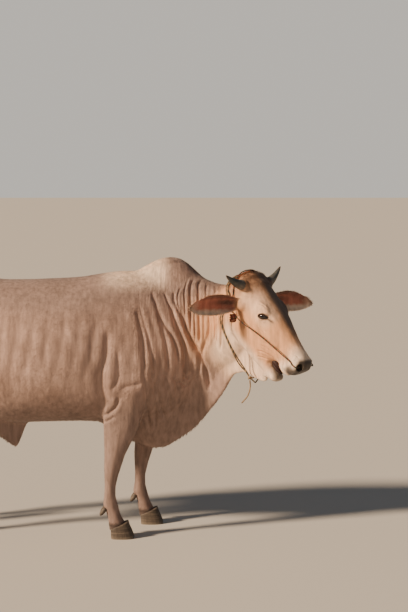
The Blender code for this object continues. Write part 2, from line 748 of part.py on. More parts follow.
def ear(name, root, along, opening, droop, head):
    """A long cupped ear: how far along it, half height, depth of the cup, thickness of its wall."""
    rows = (
        (-0.070, 0.026, 0.026, 0.0235),
        (0.030, 0.030, 0.028, 0.0200),
        (0.130, 0.037, 0.032, 0.0110),
        (0.290, 0.046, 0.032, 0.0080),
        (0.480, 0.051, 0.028, 0.0074),
        (0.660, 0.047, 0.023, 0.0068),
        (0.815, 0.036, 0.017, 0.0062),
        (0.930, 0.021, 0.011, 0.0052),
        (1.000, 0.008, 0.006, 0.0038),
    )
    along = along.normalized()
    across = opening.cross(along).normalized()
    rings = []
    for far, half, depth, wall in smooth_rows(rows, 2):
        centre = root + along * EAR_LENGTH * far - UP * droop * far * far
        rings.append(crescent(centre, across, across.cross(along), half, depth, wall))
    made = loft("ear_" + name, rings, BULL)
    trim_against(made, head)
    return made


def trim_against(piece, body):
    """Cuts the piece back to the body's surface, a thin gap away from it."""
    cutter = grown(body, GAP)
    boolean(piece, cutter, "DIFFERENCE")
    bpy.data.objects.remove(cutter)
    keep_largest(piece)


def horn(name, side, lift, head):
    """A short horn that leaves the side of the poll and curves upward by the lift."""
    root = head_point(0.026, side * 0.088, -0.032)
    out = HEAD_V.normalized() * side
    steps = 9
    rings = []
    for k in range(steps + 1):
        t = k / steps
        centre = root + out * 0.112 * t + UP * (0.3 * lift * t + 0.7 * lift * t * t) - FORWARD * 0.006 * t
        along = (out * 0.112 + UP * lift * (0.3 + 1.4 * t)).normalized()
        side_axis = along.cross(FORWARD).normalized()
        radius = 0.0245 * (1 - t) ** 0.75 + 0.0030
        rings.append(ring(centre, side_axis, along.cross(side_axis), radius, radius, radius, 2.0, 2.0, 12))
    made = loft("horn_" + name, rings, BULL)
    trim_against(made, head)
    return made


def claw(name, leg_x, set_back, middle, inner):
    """One claw of a hoof: flat below, flat on its inner side, round at the toe and cut at the coronet."""
    rows = ((0.0, 0.052, 0.056, 0.0235), (0.030, 0.046, 0.051, 0.0222), (0.060, 0.038, 0.046, 0.0208),
            (0.100, 0.030, 0.042, 0.0192))
    rings = []
    for z, x, half, half_width in rows:
        centre_y = middle + inner * (half_width + 0.0026)
        points = []
        for k in range(16):
            angle = 2 * math.pi * k / 16
            s, c = math.sin(angle), math.cos(angle)
            across = half_width * math.copysign(abs(s) ** 0.72, s)
            ahead = half * math.copysign(abs(c) ** (0.95 if c > 0 else 0.75), c)
            y = centre_y + across - inner * 0.006 * max(c, 0) ** 2
            points.append(Vector((leg_x - set_back + x + ahead, y, z)))
        rings.append(points)
    made = loft(name, rings, BULL)
    clear(made, [(sole_plane(leg_x, CORONET - 0.008)[0], -sole_plane(leg_x, 0)[1])])
    return made


def dewclaw(name, leg_x, set_back, middle, inner, leg):
    """A small blunt horn behind the fetlock."""
    root = Vector((leg_x - set_back - 0.030, middle + inner * 0.017, 0.146))
    tip = Vector((leg_x - set_back - 0.056, middle + inner * 0.022, 0.112))
    along = (tip - root).normalized()
    side_axis = along.cross(ACROSS).normalized()
    rings = []
    for t, radius in ((0.0, 0.0120), (0.5, 0.0122), (0.85, 0.0085), (1.0, 0.0035)):
        centre = root.lerp(tip, t)
        rings.append(ring(centre, side_axis, along.cross(side_axis), radius, radius, radius, 2, 2, 8))
    made = loft(name, rings, BULL)
    trim_against(made, leg)
    return made


def feet():
    """Two claws and two dewclaws on each foot."""
    for kind, near_x, far_x, set_back, spread in (
        ("fore", NEAR_FORELEG_X, FAR_FORELEG_X, 0.0, LEG_SPREAD),
        ("hind", NEAR_HINDLEG_X, FAR_HINDLEG_X, 0.006, 0.145),
    ):
        for name, side in SIDES:
            leg_x = near_x if side == RIGHT else far_x
            leg = bpy.data.objects[kind + "leg_lower_" + name]
            for place, inner in (("inner", -side), ("outer", side)):
                end = kind + "_" + name + "_" + place
                claw("claw_" + end, leg_x, set_back, side * spread, inner)
                dewclaw("dewclaw_" + end, leg_x, set_back, side * spread, inner, leg)


def lock(name, root, tip, bend, width, thick):
    """One flat tapered lock of the tail's switch, bent between its root and its tip."""
    along = (tip - root).normalized()
    side_axis = bend.cross(along).normalized()
    flat_axis = side_axis.cross(along)
    rings = []
    for k in range(6):
        t = k / 5
        centre = root.lerp(tip, t) + bend * math.sin(math.pi * t)
        size = (1.0 - 0.92 * t**1.6) * (0.75 + 0.5 * math.sin(math.pi * min(1.0, t * 1.4)))
        rings.append(
            [
                centre + side_axis * width * size,
                centre + flat_axis * thick * size,
                centre - side_axis * width * size,
                centre - flat_axis * thick * size,
            ]
        )
    return loft(name, rings, CUTTERS)


def tail_switch():
    """The brush of long hair at the tail's end: overlapping locks united with its core."""
    top = Vector((TAIL_X, 0, SWITCH_TOP - 0.5 * GAP))
    core_rows = ((0.0, 0.0125), (-0.045, 0.021), (-0.110, 0.026), (-0.180, 0.019), (-0.240, 0.008))
    rings = [ring(top + UP * z, ACROSS, FORWARD, r, r, r, 2, 2, 10) for z, r in smooth_rows(core_rows, 1)]
    brush = loft("tail_switch", rings, BULL)
    locks = bpy.data.collections.new("locks")
    CUTTERS.children.link(locks)
    count = 15
    for k in range(count):
        turn = 2 * math.pi * (k * 0.381966 % 1.0)
        out = Vector((math.cos(turn), math.sin(turn), 0))
        level = 0.020 + 0.120 * (k / count)
        root = top + out * 0.010 - UP * level
        length = 0.17 + 0.05 * math.sin(2.3 * k)
        tip = top + out * (0.016 + 0.012 * (k % 3)) - UP * (level + length)
        piece = lock("lock_%02d" % k, root, tip, out * (0.016 + 0.004 * (k % 2)), 0.0100, 0.0046)
        CUTTERS.objects.unlink(piece)
        locks.objects.link(piece)
    modifier = brush.modifiers.new("locks", "BOOLEAN")
    modifier.operation = "UNION"
    modifier.operand_type = "COLLECTION"
    modifier.collection = locks
    modifier.solver = "EXACT"
    apply_modifiers(brush)
    for piece in list(locks.objects):
        bpy.data.objects.remove(piece)
    bpy.data.collections.remove(locks)
    keep_largest(brush)
    return brush


def surface_trees(names):
    """A search tree over the surface of each named object."""
    graph = bpy.context.evaluated_depsgraph_get()
    trees = []
    for name in names:
        mesh = bpy.data.meshes.new_from_object(bpy.data.objects[name].evaluated_get(graph))
        bm = bmesh.new()
        bm.from_mesh(mesh)
        trees.append(BVHTree.FromBMesh(bm))
        bm.free()
        bpy.data.meshes.remove(mesh)
    return trees


def inside(tree, point):
    """Whether a closed surface holds the point: a ray upward leaves it an odd number of times."""
    crossings, start = 0, point
    while True:
        hit, _, _, _ = tree.ray_cast(start, UP)
        if hit is None:
            return crossings % 2 == 1
        crossings += 1
        start = hit + UP * 1e-5


def from_skin(trees, point):
    """The nearest place of the surfaces, the way out of them there, and how far out the point is."""
    best = None
    for tree in trees:
        place, normal, _, distance = tree.find_nearest(point)
        if best and distance > 0.1:
            continue
        held = inside(tree, point)
        way = (place - point) if held else (point - place)
        way = way.normalized() if way.length > 1e-6 else normal
        distance = -distance if held else distance
        if best is None or distance < best[2]:
            best = (place, way, distance)
    return best


def evened(path):
    return [path[0]] + [(a + b * 2 + c) / 4 for a, b, c in zip(path, path[1:], path[2:])] + [path[-1]]


def laid(points, trees, lift, hanging):
    """The path moved onto the skin, or where it hangs only out of it, and evened out."""
    path = [Vector(p) for p in points]
    for turn in range(6):
        path = evened(path) if turn else path
        moved = []
        for k, point in enumerate(path):
            place, way, distance = from_skin(trees, point)
            moved.append(point if hanging[k] and distance >= lift else place + way * lift)
        path = moved
    return path


def cleared(path, trees, lift):
    """The path with each stretch between two points moved off the surfaces it comes too close to."""
    for _ in range(30):
        pushes = [Vector((0, 0, 0)) for _ in path]
        for k in range(len(path) - 1):
            for t in (0.0, 0.25, 0.5, 0.75):
                _, way, distance = from_skin(trees, path[k].lerp(path[k + 1], t))
                push = way * max(0.0, lift - distance) * 0.7
                for end in (k, k + 1):
                    pushes[end] = push if push.length > pushes[end].length else pushes[end]
        if max(push.length for push in pushes) < 2e-5:
            break
        path = [point + push for point, push in zip(path, pushes)]
    return path


def tube(name, points, radius):
    """A cord through the points."""
    curve = bpy.data.curves.new(name, "CURVE")
    curve.dimensions = "3D"
    curve.bevel_depth = radius
    curve.bevel_resolution = 2
    curve.use_fill_caps = True
    spline = curve.splines.new("POLY")
    spline.points.add(len(points) - 1)
    for item, point in zip(spline.points, points):
        item.co = (*point, 1.0)
    cord = bpy.data.objects.new(name, curve)
    BULL.objects.link(cord)
    return cord


def spaced(points, count):
    """Points evenly spaced along a smooth curve through the given ones."""
    dense = [Vector(p) for p in smooth_rows([tuple(p) for p in points], 24)]
    lengths = [0.0]
    for a, b in zip(dense, dense[1:]):
        lengths.append(lengths[-1] + (b - a).length)
    out, k = [], 0
    for step in range(count):
        target = lengths[-1] * step / (count - 1)
        while k < len(lengths) - 2 and lengths[k + 1] < target:
            k += 1
        span = lengths[k + 1] - lengths[k]
        out.append(dense[k].lerp(dense[k + 1], (target - lengths[k]) / span if span else 0.0))
    return out


def knot(name, centre, radius):
    return ellipsoid(name, centre, (FORWARD, ACROSS, UP), (radius, radius, radius), BULL, 14, 8)


def leaving(centre, towards, beside):
    """A straight stretch out of the knot, from its surface outward, turned a little to one side."""
    way = (towards - centre).normalized()
    across = (HEAD_U - way * HEAD_U.dot(way)).normalized()
    way = (way + across * beside).normalized()
    reaches = (KNOT_RADIUS + 0.0007, 0.5 * (KNOT_RADIUS + KNOT_REACH), KNOT_REACH)
    return [centre + way * reach for reach in reaches]


def neck_cords():
    """Two turns of cord round the neck behind the horns, knotted under the throat, with a free end."""
    throat = THROAT_KNOT
    knot("neck_knot", throat, KNOT_RADIUS)
    worn_over = ["whole_head", "whole_body", "ear_right", "ear_left"]
    for name, back, beside in (("neck_cord", 0.0, 0.42), ("neck_cord_second", 0.022, -0.42)):
        half = (
            (0.016 - back, 0.126, -0.164),
            (0.078 - back, 0.124, -0.242),
            (0.205 - back, 0.096, -0.302),
        )
        behind = Vector((-0.695, 0.719, 0.0)) * back
        right = [Vector((0.345, -0.290, 0.838)) + behind]
        right += [head_point(u, -v, w) for u, v, w in reversed(half)]
        left = [head_point(u, v, w) for u, v, w in half]
        left += [Vector((0.432, -0.228, 0.850)) + behind, Vector((0.424, -0.238, 0.790)) + behind]
        left.append(Vector((0.408, -0.256, 0.766)) + behind)
        over = ((-0.094, -0.090), (0.0, -0.050), (0.094, -0.090))
        nape = [head_point(-0.050 - back, v, w) for v, w in over]
        start = leaving(throat, right[0], beside)
        end = leaving(throat, left[-1], beside)
        path = spaced([start[-1]] + right + nape + left + [end[-1]], 58)
        hanging = [k < 16 or k > 41 for k in range(len(path))]
        path = laid(path, surface_trees(worn_over), CORD_RADIUS + CORD_LIFT, hanging)
        path = cleared(path, surface_trees(worn_over), CORD_RADIUS + 0.6 * CORD_LIFT)
        tube(name, start[:-1] + path + end[-2::-1], CORD_RADIUS)
        worn_over.append(name)
    end = [
        throat - UP * (KNOT_RADIUS + 0.0006),
        throat + Vector((0.002, 0.0, -0.045)),
        throat + Vector((-0.010, -0.002, -0.085)),
        throat + Vector((-0.038, -0.004, -0.118)),
    ]
    tube("neck_cord_end", spaced(end, 10), CORD_RADIUS)


def nose_cord():
    """A thin cord through the nose, back over both cheeks and tied behind the ears."""
    half = (
        (0.518, -0.062, -0.074),
        (0.400, -0.082, -0.092),
        (0.280, -0.100, -0.115),
        (0.190, -0.114, -0.140),
        (0.132, -0.120, -0.165),
        (0.078, -0.126, -0.172),
        (0.036, -0.122, -0.130),
        (0.004, -0.105, -0.075),
    )
    points = [head_point(*p) for p in half] + [head_point(-0.026, 0.0, -0.012)]
    points += [head_point(u, -v, w) for u, v, w in reversed(half)]
    path = spaced(points, 66)
    hanging = [2 < k < 19 or 46 < k < 63 for k in range(len(path))]
    skin = ("whole_head", "whole_body", "ear_right", "ear_left")
    path = laid(path, surface_trees(skin), NOSE_CORD_RADIUS + CORD_LIFT, hanging)
    others = ("horn_right", "horn_left", "eye_right", "eye_left", "neck_cord", "neck_cord_second")
    path = cleared(path, surface_trees(skin + others), NOSE_CORD_RADIUS + 0.6 * CORD_LIFT)
    tube("nose_cord", path, NOSE_CORD_RADIUS)


def solid_copy(name):
    """A closed mesh of a node, a cord among them, to cut with."""
    seen = bpy.data.objects[name].evaluated_get(bpy.context.evaluated_depsgraph_get())
    bm = bmesh.new()
    bm.from_mesh(bpy.data.meshes.new_from_object(seen))
    bmesh.ops.remove_doubles(bm, verts=bm.verts, dist=1e-6)
    return object_of("solid_" + name, bm, CUTTERS)


def halter_knot():
    """The bundle of the nose cord's knot, which hangs on it under the right ear, clear of its neighbours."""
    centre = head_point(*HALTER_KNOT)
    tall = (UP + FORWARD * 0.35).normalized()
    across = tall.cross(HEAD_V).normalized()
    axes = (across, HEAD_V.normalized(), tall)
    made = ellipsoid("halter_knot", centre, axes, (0.017, 0.014, 0.029), BULL, 16, 10)
    for name in ("whole_head", "whole_body", "ear_right", "neck_cord", "neck_cord_second", "nose_cord"):
        solid = solid_copy(name)
        cutter = grown(solid, GAP)
        boolean(made, cutter, "DIFFERENCE")
        bpy.data.objects.remove(cutter)
        bpy.data.objects.remove(solid)
    keep_largest(made)


def material(name, colour, roughness):
    """A material with one colour, which the nodes share by its name."""
    if name in bpy.data.materials:
        return bpy.data.materials[name]
    made = bpy.data.materials.new(name)
    made.use_nodes = True
    shader = made.node_tree.nodes["Principled BSDF"]
    shader.inputs["Base Color"].default_value = (*colour, 1.0)
    shader.inputs["Roughness"].default_value = roughness
    shader.inputs["Metallic"].default_value = 0.0
    made.diffuse_color = (*colour, 1.0)
    return made


LOOKS = (
    ("eye", "dark_eye", (0.015, 0.010, 0.008), 0.15),
    ("horn", "slate_horn", (0.095, 0.090, 0.078), 0.50),
    ("claw", "dark_hoof", (0.070, 0.058, 0.048), 0.55),
    ("dewclaw", "dark_hoof", (0.070, 0.058, 0.048), 0.55),
    ("tail_switch", "dark_hair", (0.060, 0.045, 0.035), 0.75),
    ("nose_cord", "green_cord", (0.070, 0.075, 0.055), 0.85),
    ("halter_knot", "crimson_cord", (0.130, 0.030, 0.028), 0.85),
    ("neck", "cream_coat", (0.560, 0.400, 0.290), 0.80),
    ("neck_cord", "grey_cord", (0.110, 0.105, 0.085), 0.85),
    ("neck_cord_second", "tan_cord", (0.380, 0.270, 0.170), 0.85),
    ("neck_cord_end", "tan_cord", (0.380, 0.270, 0.170), 0.85),
    ("neck_knot", "tan_cord", (0.380, 0.270, 0.170), 0.85),
)


def finish():
    """Gives each node its material, shades it and moves it into the part's frame."""
    for node in BULL.objects:
        look = material("cream_coat", (0.560, 0.400, 0.290), 0.80)
        for start, name, colour, roughness in LOOKS:
            if node.name == start or (node.name.startswith(start + "_") and not start.startswith("neck")):
                look = material(name, colour, roughness)
        node.data.materials.clear()
        node.data.materials.append(look)
        if node.type == "MESH":
            node.data.shade_smooth()
            node.data.set_sharp_from_angle(angle=math.radians(40.0))
            node.data.transform(Matrix.Translation(FRAME_SHIFT))
        else:
            for point in node.data.splines[0].points:
                point.co.xyz += FRAME_SHIFT


def drop_guides():
    """Whatever is left of the construction is a guide and is not part of the bull."""
    for guide in list(CUTTERS.objects):
        bpy.data.objects.remove(guide)
    bpy.data.collections.remove(CUTTERS)


part_body(body_flesh())
HEAD = part_head()
EAR_OPENING = Vector((0.30, -0.92, -0.20))
ear("right", head_point(0.090, -0.106, -0.100), Vector((-0.92, -0.38, 0.03)), EAR_OPENING, 0.016, HEAD)
ear("left", head_point(0.090, 0.106, -0.100), Vector((0.86, 0.50, 0.03)), EAR_OPENING, 0.026, HEAD)
horn("right", RIGHT, 0.050, HEAD)
horn("left", LEFT, 0.074, HEAD)
feet()
tail_switch()
neck_cords()
nose_cord()
halter_knot()
finish()
drop_guides()
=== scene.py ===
import math

import bmesh
import bpy
import numpy as np
from mathutils import Euler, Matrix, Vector
from mathutils.bvhtree import BVHTree


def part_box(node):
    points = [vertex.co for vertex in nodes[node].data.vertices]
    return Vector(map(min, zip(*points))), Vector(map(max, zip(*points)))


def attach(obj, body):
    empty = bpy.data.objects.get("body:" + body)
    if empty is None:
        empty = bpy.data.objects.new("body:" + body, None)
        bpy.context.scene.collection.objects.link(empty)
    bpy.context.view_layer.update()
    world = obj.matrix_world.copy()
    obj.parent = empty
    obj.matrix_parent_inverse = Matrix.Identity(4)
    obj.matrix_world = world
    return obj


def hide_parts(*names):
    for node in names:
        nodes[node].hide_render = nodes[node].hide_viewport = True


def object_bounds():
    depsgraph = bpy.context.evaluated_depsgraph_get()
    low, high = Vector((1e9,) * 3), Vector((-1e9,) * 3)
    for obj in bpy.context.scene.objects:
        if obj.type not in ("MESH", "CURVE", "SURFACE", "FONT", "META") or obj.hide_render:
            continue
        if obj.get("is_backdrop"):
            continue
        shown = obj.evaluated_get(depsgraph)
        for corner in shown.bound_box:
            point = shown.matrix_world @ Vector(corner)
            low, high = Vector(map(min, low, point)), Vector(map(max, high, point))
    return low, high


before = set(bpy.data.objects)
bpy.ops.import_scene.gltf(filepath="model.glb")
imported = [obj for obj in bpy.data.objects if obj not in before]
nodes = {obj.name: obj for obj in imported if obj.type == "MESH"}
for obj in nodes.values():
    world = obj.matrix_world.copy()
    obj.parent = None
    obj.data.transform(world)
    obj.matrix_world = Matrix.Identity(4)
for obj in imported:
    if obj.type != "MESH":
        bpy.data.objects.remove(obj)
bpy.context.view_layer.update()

scene = bpy.context.scene

# The bull stands on a plain pale floor, seen by someone standing to its right, a little above
# its back. WITHERS is the floor point under the top of the hump, which all heights and
# distances along the body are counted from: x forward, y to its left, z up.
WITHERS = Vector((0.3812, 0.1359, 0.0))

camera = bpy.data.objects.new("camera", bpy.data.cameras.new("camera"))
scene.collection.objects.link(camera)
camera.location = WITHERS + Vector((0.16, -6.95, 1.715))
camera.rotation_euler = Euler((math.radians(90 - 5.06), 0, 0))
camera.data.sensor_fit = "VERTICAL"
camera.data.sensor_height = 36
camera.data.lens = 85
scene.camera = camera


def node(tree, kind, inputs=None, **settings):
    """A node with its settings; inputs gives its sockets a value, or the output that feeds them."""
    made = tree.nodes.new("ShaderNode" + kind)
    for name, value in settings.items():
        setattr(made, name, value)
    for socket, value in (inputs or {}).items():
        if isinstance(value, bpy.types.NodeSocket):
            tree.links.new(value, made.inputs[socket])
        else:
            made.inputs[socket].default_value = value
    return made


def shaded(name, roughness, specular=0.3):
    """A material with its tree, its shader and the place on the piece that its patterns follow."""
    made = bpy.data.materials.new(name)
    made.use_nodes = True
    shader = made.node_tree.nodes["Principled BSDF"]
    shader.inputs["Roughness"].default_value = roughness
    shader.inputs["Specular IOR Level"].default_value = specular
    return made, made.node_tree, shader, node(made.node_tree, "TexCoord").outputs["Object"]


bm = bmesh.new()
bmesh.ops.create_grid(bm, x_segments=1, y_segments=1, size=120)
floor_mesh = bpy.data.meshes.new("floor")
bm.to_mesh(floor_mesh)
bm.free()
floor = bpy.data.objects.new("floor", floor_mesh)
scene.collection.objects.link(floor)
pale_floor, tree, shader, spot = shaded("pale_floor", 0.9)
shader.inputs["Base Color"].default_value = (0.55, 0.53, 0.49, 1)
floor.data.materials.append(pale_floor)
floor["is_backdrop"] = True


def lamp(name, kind, place, aim, strength, colour, size):
    """A soft lamp over the floor, aimed at a point of the bull: an area's side or a sun's spread."""
    light = bpy.data.lights.new(name, kind)
    light.energy = strength
    light.color = colour
    if kind == "SUN":
        light.angle = math.radians(size)
    else:
        light.size = size
    holder = bpy.data.objects.new(name, light)
    scene.collection.objects.link(holder)
    holder.location = WITHERS + Vector(place)
    away = Vector(place) - Vector(aim)
    holder.rotation_euler = away.to_track_quat("Z", "Y").to_euler()


lamp("low_key", "SUN", (-6.4, -3.0, 4.7), (0, 0, 0.9), 8.0, (1.0, 0.75, 0.52), 7)
lamp("soft_fill", "AREA", (3.5, -6.0, 3.5), (0.2, 0, 0.8), 16, (0.88, 0.93, 1.0), 4.0)
world = bpy.data.worlds.new("studio")
scene.world = world
world.use_nodes = True
surround = world.node_tree.nodes["Background"]
surround.inputs["Color"].default_value = (0.80, 0.84, 0.92, 1)
surround.inputs["Strength"].default_value = 0.16
backdrop = node(world.node_tree, "Background", {"Color": (0.70, 0.655, 0.59, 1), "Strength": 0.9})
seen = node(world.node_tree, "LightPath").outputs["Is Camera Ray"]
shown = world.node_tree.nodes.new("ShaderNodeMixShader")
world.node_tree.links.new(seen, shown.inputs["Fac"])
world.node_tree.links.new(surround.outputs["Background"], shown.inputs[1])
world.node_tree.links.new(backdrop.outputs["Background"], shown.inputs[2])
world.node_tree.links.new(shown.outputs["Shader"], world.node_tree.nodes["World Output"].inputs["Surface"])


# The halter: a thin cord of two green strands and a red one from nostril to nostril over the
# neck, and two turns of thicker hemp cord round the neck behind the horns. The neck cord is
# tied in a knot under the throat, where one frayed end of it hangs free.
MERGE_GAP = 1e-6
CORD_RADIUS = 0.0036
NOSE_CORD_RADIUS = 0.0030
THROAT_KNOT = WITHERS + Vector((0.373, -0.288, 0.790))
KNOT_RADIUS = 0.0115
STRAND_COLOURS = {
    "dark": ((0.045, 0.045, 0.036), (0.120, 0.110, 0.085)),
    "tan": ((0.230, 0.150, 0.085), (0.430, 0.310, 0.190)),
    "green": ((0.018, 0.040, 0.030), (0.055, 0.090, 0.066)),
    "red": ((0.140, 0.018, 0.016), (0.300, 0.060, 0.048)),
}


def ramp(value, low, high):
    """Rises smoothly from 0 at low to 1 at high, or falls where high is below low."""
    t = np.clip((value - low) / (high - low), 0, 1)
    return t * t * (3 - 2 * t)


def smooth_line(knots, steps=6):
    """Points on a smooth curve through the knots."""
    table = np.array([tuple(k) for k in knots], float)
    padded = np.vstack([2 * table[0] - table[1], table, 2 * table[-1] - table[-2]])
    out = []
    for a, b, c, d in zip(padded, padded[1:], padded[2:], padded[3:]):
        for t in np.arange(steps) / steps:
            square, cube = 2 * a - 5 * b + 4 * c - d, 3 * b - a - 3 * c + d
            out.append(0.5 * (2 * b + (c - a) * t + square * t**2 + cube * t**3))
    return np.array(out + [table[-1]])


def even_line(line, gap):
    """The same line with its points a gap apart."""
    run = np.concatenate([[0], np.cumsum(np.linalg.norm(np.diff(line, axis=0), axis=1))])
    at = np.linspace(0, run[-1], max(3, int(round(run[-1] / gap)) + 1))
    return np.column_stack([np.interp(at, run, line[:, k]) for k in range(3)])


def route_of(name):
    """The middle line of a cord's tube, read ring by ring from one end to the other."""
    bm = bmesh.new()
    bm.from_mesh(nodes[name].data)
    bmesh.ops.remove_doubles(bm, verts=bm.verts, dist=MERGE_GAP)
    rim = {v for v in bm.verts if any(e.calc_face_angle(0) > 1.2 for e in v.link_edges)}
    ring = [next(v for v in bm.verts if v in rim)]
    for v in ring:
        near = [e.other_vert(v) for e in v.link_edges]
        ring += [w for w in near if w in rim and w not in ring and (w.co - v.co).length < 0.004]
    seen, line = set(ring), []
    while ring:
        line.append(sum((v.co for v in ring), Vector()) / len(ring))
        near = {e.other_vert(v) for v in ring for e in v.link_edges}
        ring = [v for v in near if v not in seen]
        seen.update(ring)
    bm.free()
    return line


def bumped(tree, shader, height, strength, distance):
    """Gives a shader a fine relief that follows a value."""
    bump = node(tree, "Bump", {"Height": height, "Strength": strength, "Distance": distance})
    tree.links.new(bump.outputs["Normal"], shader.inputs["Normal"])


def fibre(name):
    """Twisted plant fibre: a darker and a lighter tone in blots and fine streaks, and a hairy bump."""
    made, tree, shader, spot = shaded("fibre_" + name, 0.86, 0.22)
    fine = node(tree, "TexNoise", {"Vector": spot, "Scale": 900, "Detail": 3}).outputs["Fac"]
    blot = node(tree, "TexNoise", {"Vector": spot, "Scale": 60}).outputs["Fac"]
    both = node(tree, "Math", {0: fine, 1: blot}, operation="MULTIPLY").outputs[0]
    share = node(tree, "MapRange", {"Value": both, "From Min": 0.15, "From Max": 0.38}).outputs["Result"]
    dark, light = ((*colour, 1) for colour in STRAND_COLOURS[name])
    mix = node(tree, "Mix", {"Factor": share, "A": dark, "B": light}, data_type="RGBA")
    tree.links.new(mix.outputs["Result"], shader.inputs["Base Color"])
    bumped(tree, shader, fine, 0.6, 0.0006)
    return made


fibres = {name: fibre(name) for name in STRAND_COLOURS}


def laid_cord(name, lines, radius, colours, fray=0.0):
    """A cord of three strands laid round each line; fray spreads them over the last 15 mm."""
    strand_radius, gap = radius * 0.50, radius * 0.85
    curve = bpy.data.curves.new(name, "CURVE")
    curve.dimensions = "3D"
    curve.bevel_depth = strand_radius
    curve.bevel_resolution = 1
    curve.use_fill_caps = True
    kinds = sorted(set(colours))
    for kind in kinds:
        curve.materials.append(fibres[kind])
    for line in lines:
        line = even_line(np.asarray(line, float), gap)
        count = len(line)
        ahead = np.gradient(line, axis=0)
        ahead /= np.linalg.norm(ahead, axis=1)[:, None]
        side, sides = np.cross(ahead[0], (0.31, 0.17, 0.93)), []
        for way in ahead:
            side = side - way * (side @ way)
            side /= np.linalg.norm(side)
            sides.append(side)
        sides = np.array(sides)
        ups = np.cross(ahead, sides)
        loose = 1 + fray * ramp(np.arange(count), count - 1 - 0.015 / gap, count - 1)
        for k, colour in enumerate(colours):
            turn = 2 * math.pi * (k / 3 + np.arange(count) / 8.2)
            reach = (strand_radius * loose)[:, None]
            strand = line + (sides * np.cos(turn)[:, None] + ups * np.sin(turn)[:, None]) * reach
            spline = curve.splines.new("POLY")
            spline.points.add(count - 1)
            spline.points.foreach_set("co", np.column_stack([strand, np.ones(count)]).ravel())
            spline.points.foreach_set("radius", 1 - 0.7 * (loose - 1))
            spline.material_index = kinds.index(colour)
            spline.use_smooth = True
    return as_mesh(curve)


def as_mesh(curve):
    """A mesh piece from a curve, with the same name and materials."""
    holder = bpy.data.objects.new(curve.name, curve)
    scene.collection.objects.link(holder)
    mesh = bpy.data.meshes.new_from_object(holder.evaluated_get(bpy.context.evaluated_depsgraph_get()))
    bpy.data.objects.remove(holder)
    bm = bmesh.new()
    bm.from_mesh(mesh)
    bmesh.ops.remove_doubles(bm, verts=bm.verts, dist=MERGE_GAP)
    bm.to_mesh(mesh)
    bm.free()
    piece = bpy.data.objects.new(curve.name, mesh)
    scene.collection.objects.link(piece)
    return piece


def worn(piece, slot, *replaced):
    """Says which solids a piece stands for; the slot is not used."""
    if replaced:
        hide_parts(*replaced)
    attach(piece, "root")


end_knots = [THROAT_KNOT - Vector((0, 0, KNOT_RADIUS + 0.0006))]
for offset in ((0.002, 0.0, -0.045), (-0.010, -0.002, -0.085), (-0.038, -0.004, -0.118)):
    end_knots.append(THROAT_KNOT + Vector(offset))
end_route = even_line(smooth_line(end_knots, 24), 0.0125)
free_end = laid_cord("halter_free_end", [end_route], CORD_RADIUS, ("tan", "tan", "tan"), fray=0.5)
worn(free_end, "tan_cord", "neck_cord_end")

for source, name, colours, slot in (
    ("neck_cord", "halter_neck_front", ("dark", "dark", "tan"), "grey_cord"),
    ("neck_cord_second", "halter_neck_rear", ("tan", "tan", "dark"), "tan_cord"),
):
    worn(laid_cord(name, [smooth_line(route_of(source), 8)], CORD_RADIUS, colours), slot, source)

# The nose cord's ends turn in through the nostrils, which lie by the low front end of its route
nose_route = route_of("nose_cord")
for end in (0, -1):
    inward = nose_route[-1 - end] - nose_route[end]
    inward = Vector((inward.x, inward.y, 0)).normalized()
    into = []
    for reach, rise in ((0.008, -0.001), (0.024, 0.0)):
        into.append(nose_route[end] + inward * reach + Vector((0, 0, rise)))
    nose_route = nose_route + into if end else into[::-1] + nose_route
nose_line = smooth_line(nose_route, 8)
nose_cord = laid_cord("halter_nose", [nose_line], NOSE_CORD_RADIUS, ("green", "green", "red"))
worn(nose_cord, "green_cord", "nose_cord")


def wound(middle, radii):
    """The line of a cord tied in a ball: it winds twice round and three times over and under."""
    t = np.linspace(0, 2 * math.pi, 120)
    wave = 1 + 0.34 * np.cos(3 * t)
    ball = np.column_stack([wave * np.cos(2 * t), wave * np.sin(2 * t), 0.95 * np.sin(3 * t)]) / 1.34
    return np.array(middle) + ball * np.array(radii)


throat_line = wound(THROAT_KNOT, (0.0078, 0.0078, 0.0078))
throat_tie = laid_cord("halter_throat_knot", [throat_line], CORD_RADIUS * 0.95, ("tan", "tan", "tan"))
worn(throat_tie, "tan_cord", "neck_knot")

low, high = (Vector(v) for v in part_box("halter_knot"))
middle, reach = (low + high) / 2, (high - low) / 2 - Vector((0.003, 0.003, 0.003))
windings = [wound(middle, reach)]
for k, rise in enumerate((-0.55, -0.20, 0.20, 0.55)):
    turn, pinch = np.linspace(0, 2 * math.pi, 40), math.sqrt(1 - rise**2)
    level = rise * reach.z + 0.004 * np.sin(turn + k)
    ring = np.column_stack([np.cos(turn) * reach.x * pinch, np.sin(turn) * reach.y * pinch, level])
    windings.append(np.array(middle) + ring)
cheek_tie = laid_cord("halter_cheek_knot", windings, 0.0026, ("red", "green", "red"))
worn(cheek_tie, "crimson_cord", "halter_knot")


# The hide: one unbroken skin over the trunk, neck, head, ears, legs and tail. It is drawn from
# the carved parts of the body, fused so that no joint shows, and lies a short coat's depth
# inside them. Over it the loose skin of the neck, dewlap and face is worked in folds.
HIDE_GRAIN = 0.0034
COAT_DEPTH = 0.0016
HIDE_TRIANGLES = 194000
POLL = Vector((0.399, -0.305, 1.265))
HEAD_SIZE = 0.930
FACE_TURN, FACE_DROP = math.radians(42.0), math.radians(46.0)

FLESH = ["torso", "hump", "neck", "dewlap", "head", "lower_jaw", "ear_right", "ear_left"]
FLESH += ["tail", "sheath", "scrotum"]
for kind in ("fore", "hind"):
    for part in ("upper", "lower"):
        FLESH += [kind + "leg_" + part + "_right", kind + "leg_" + part + "_left"]

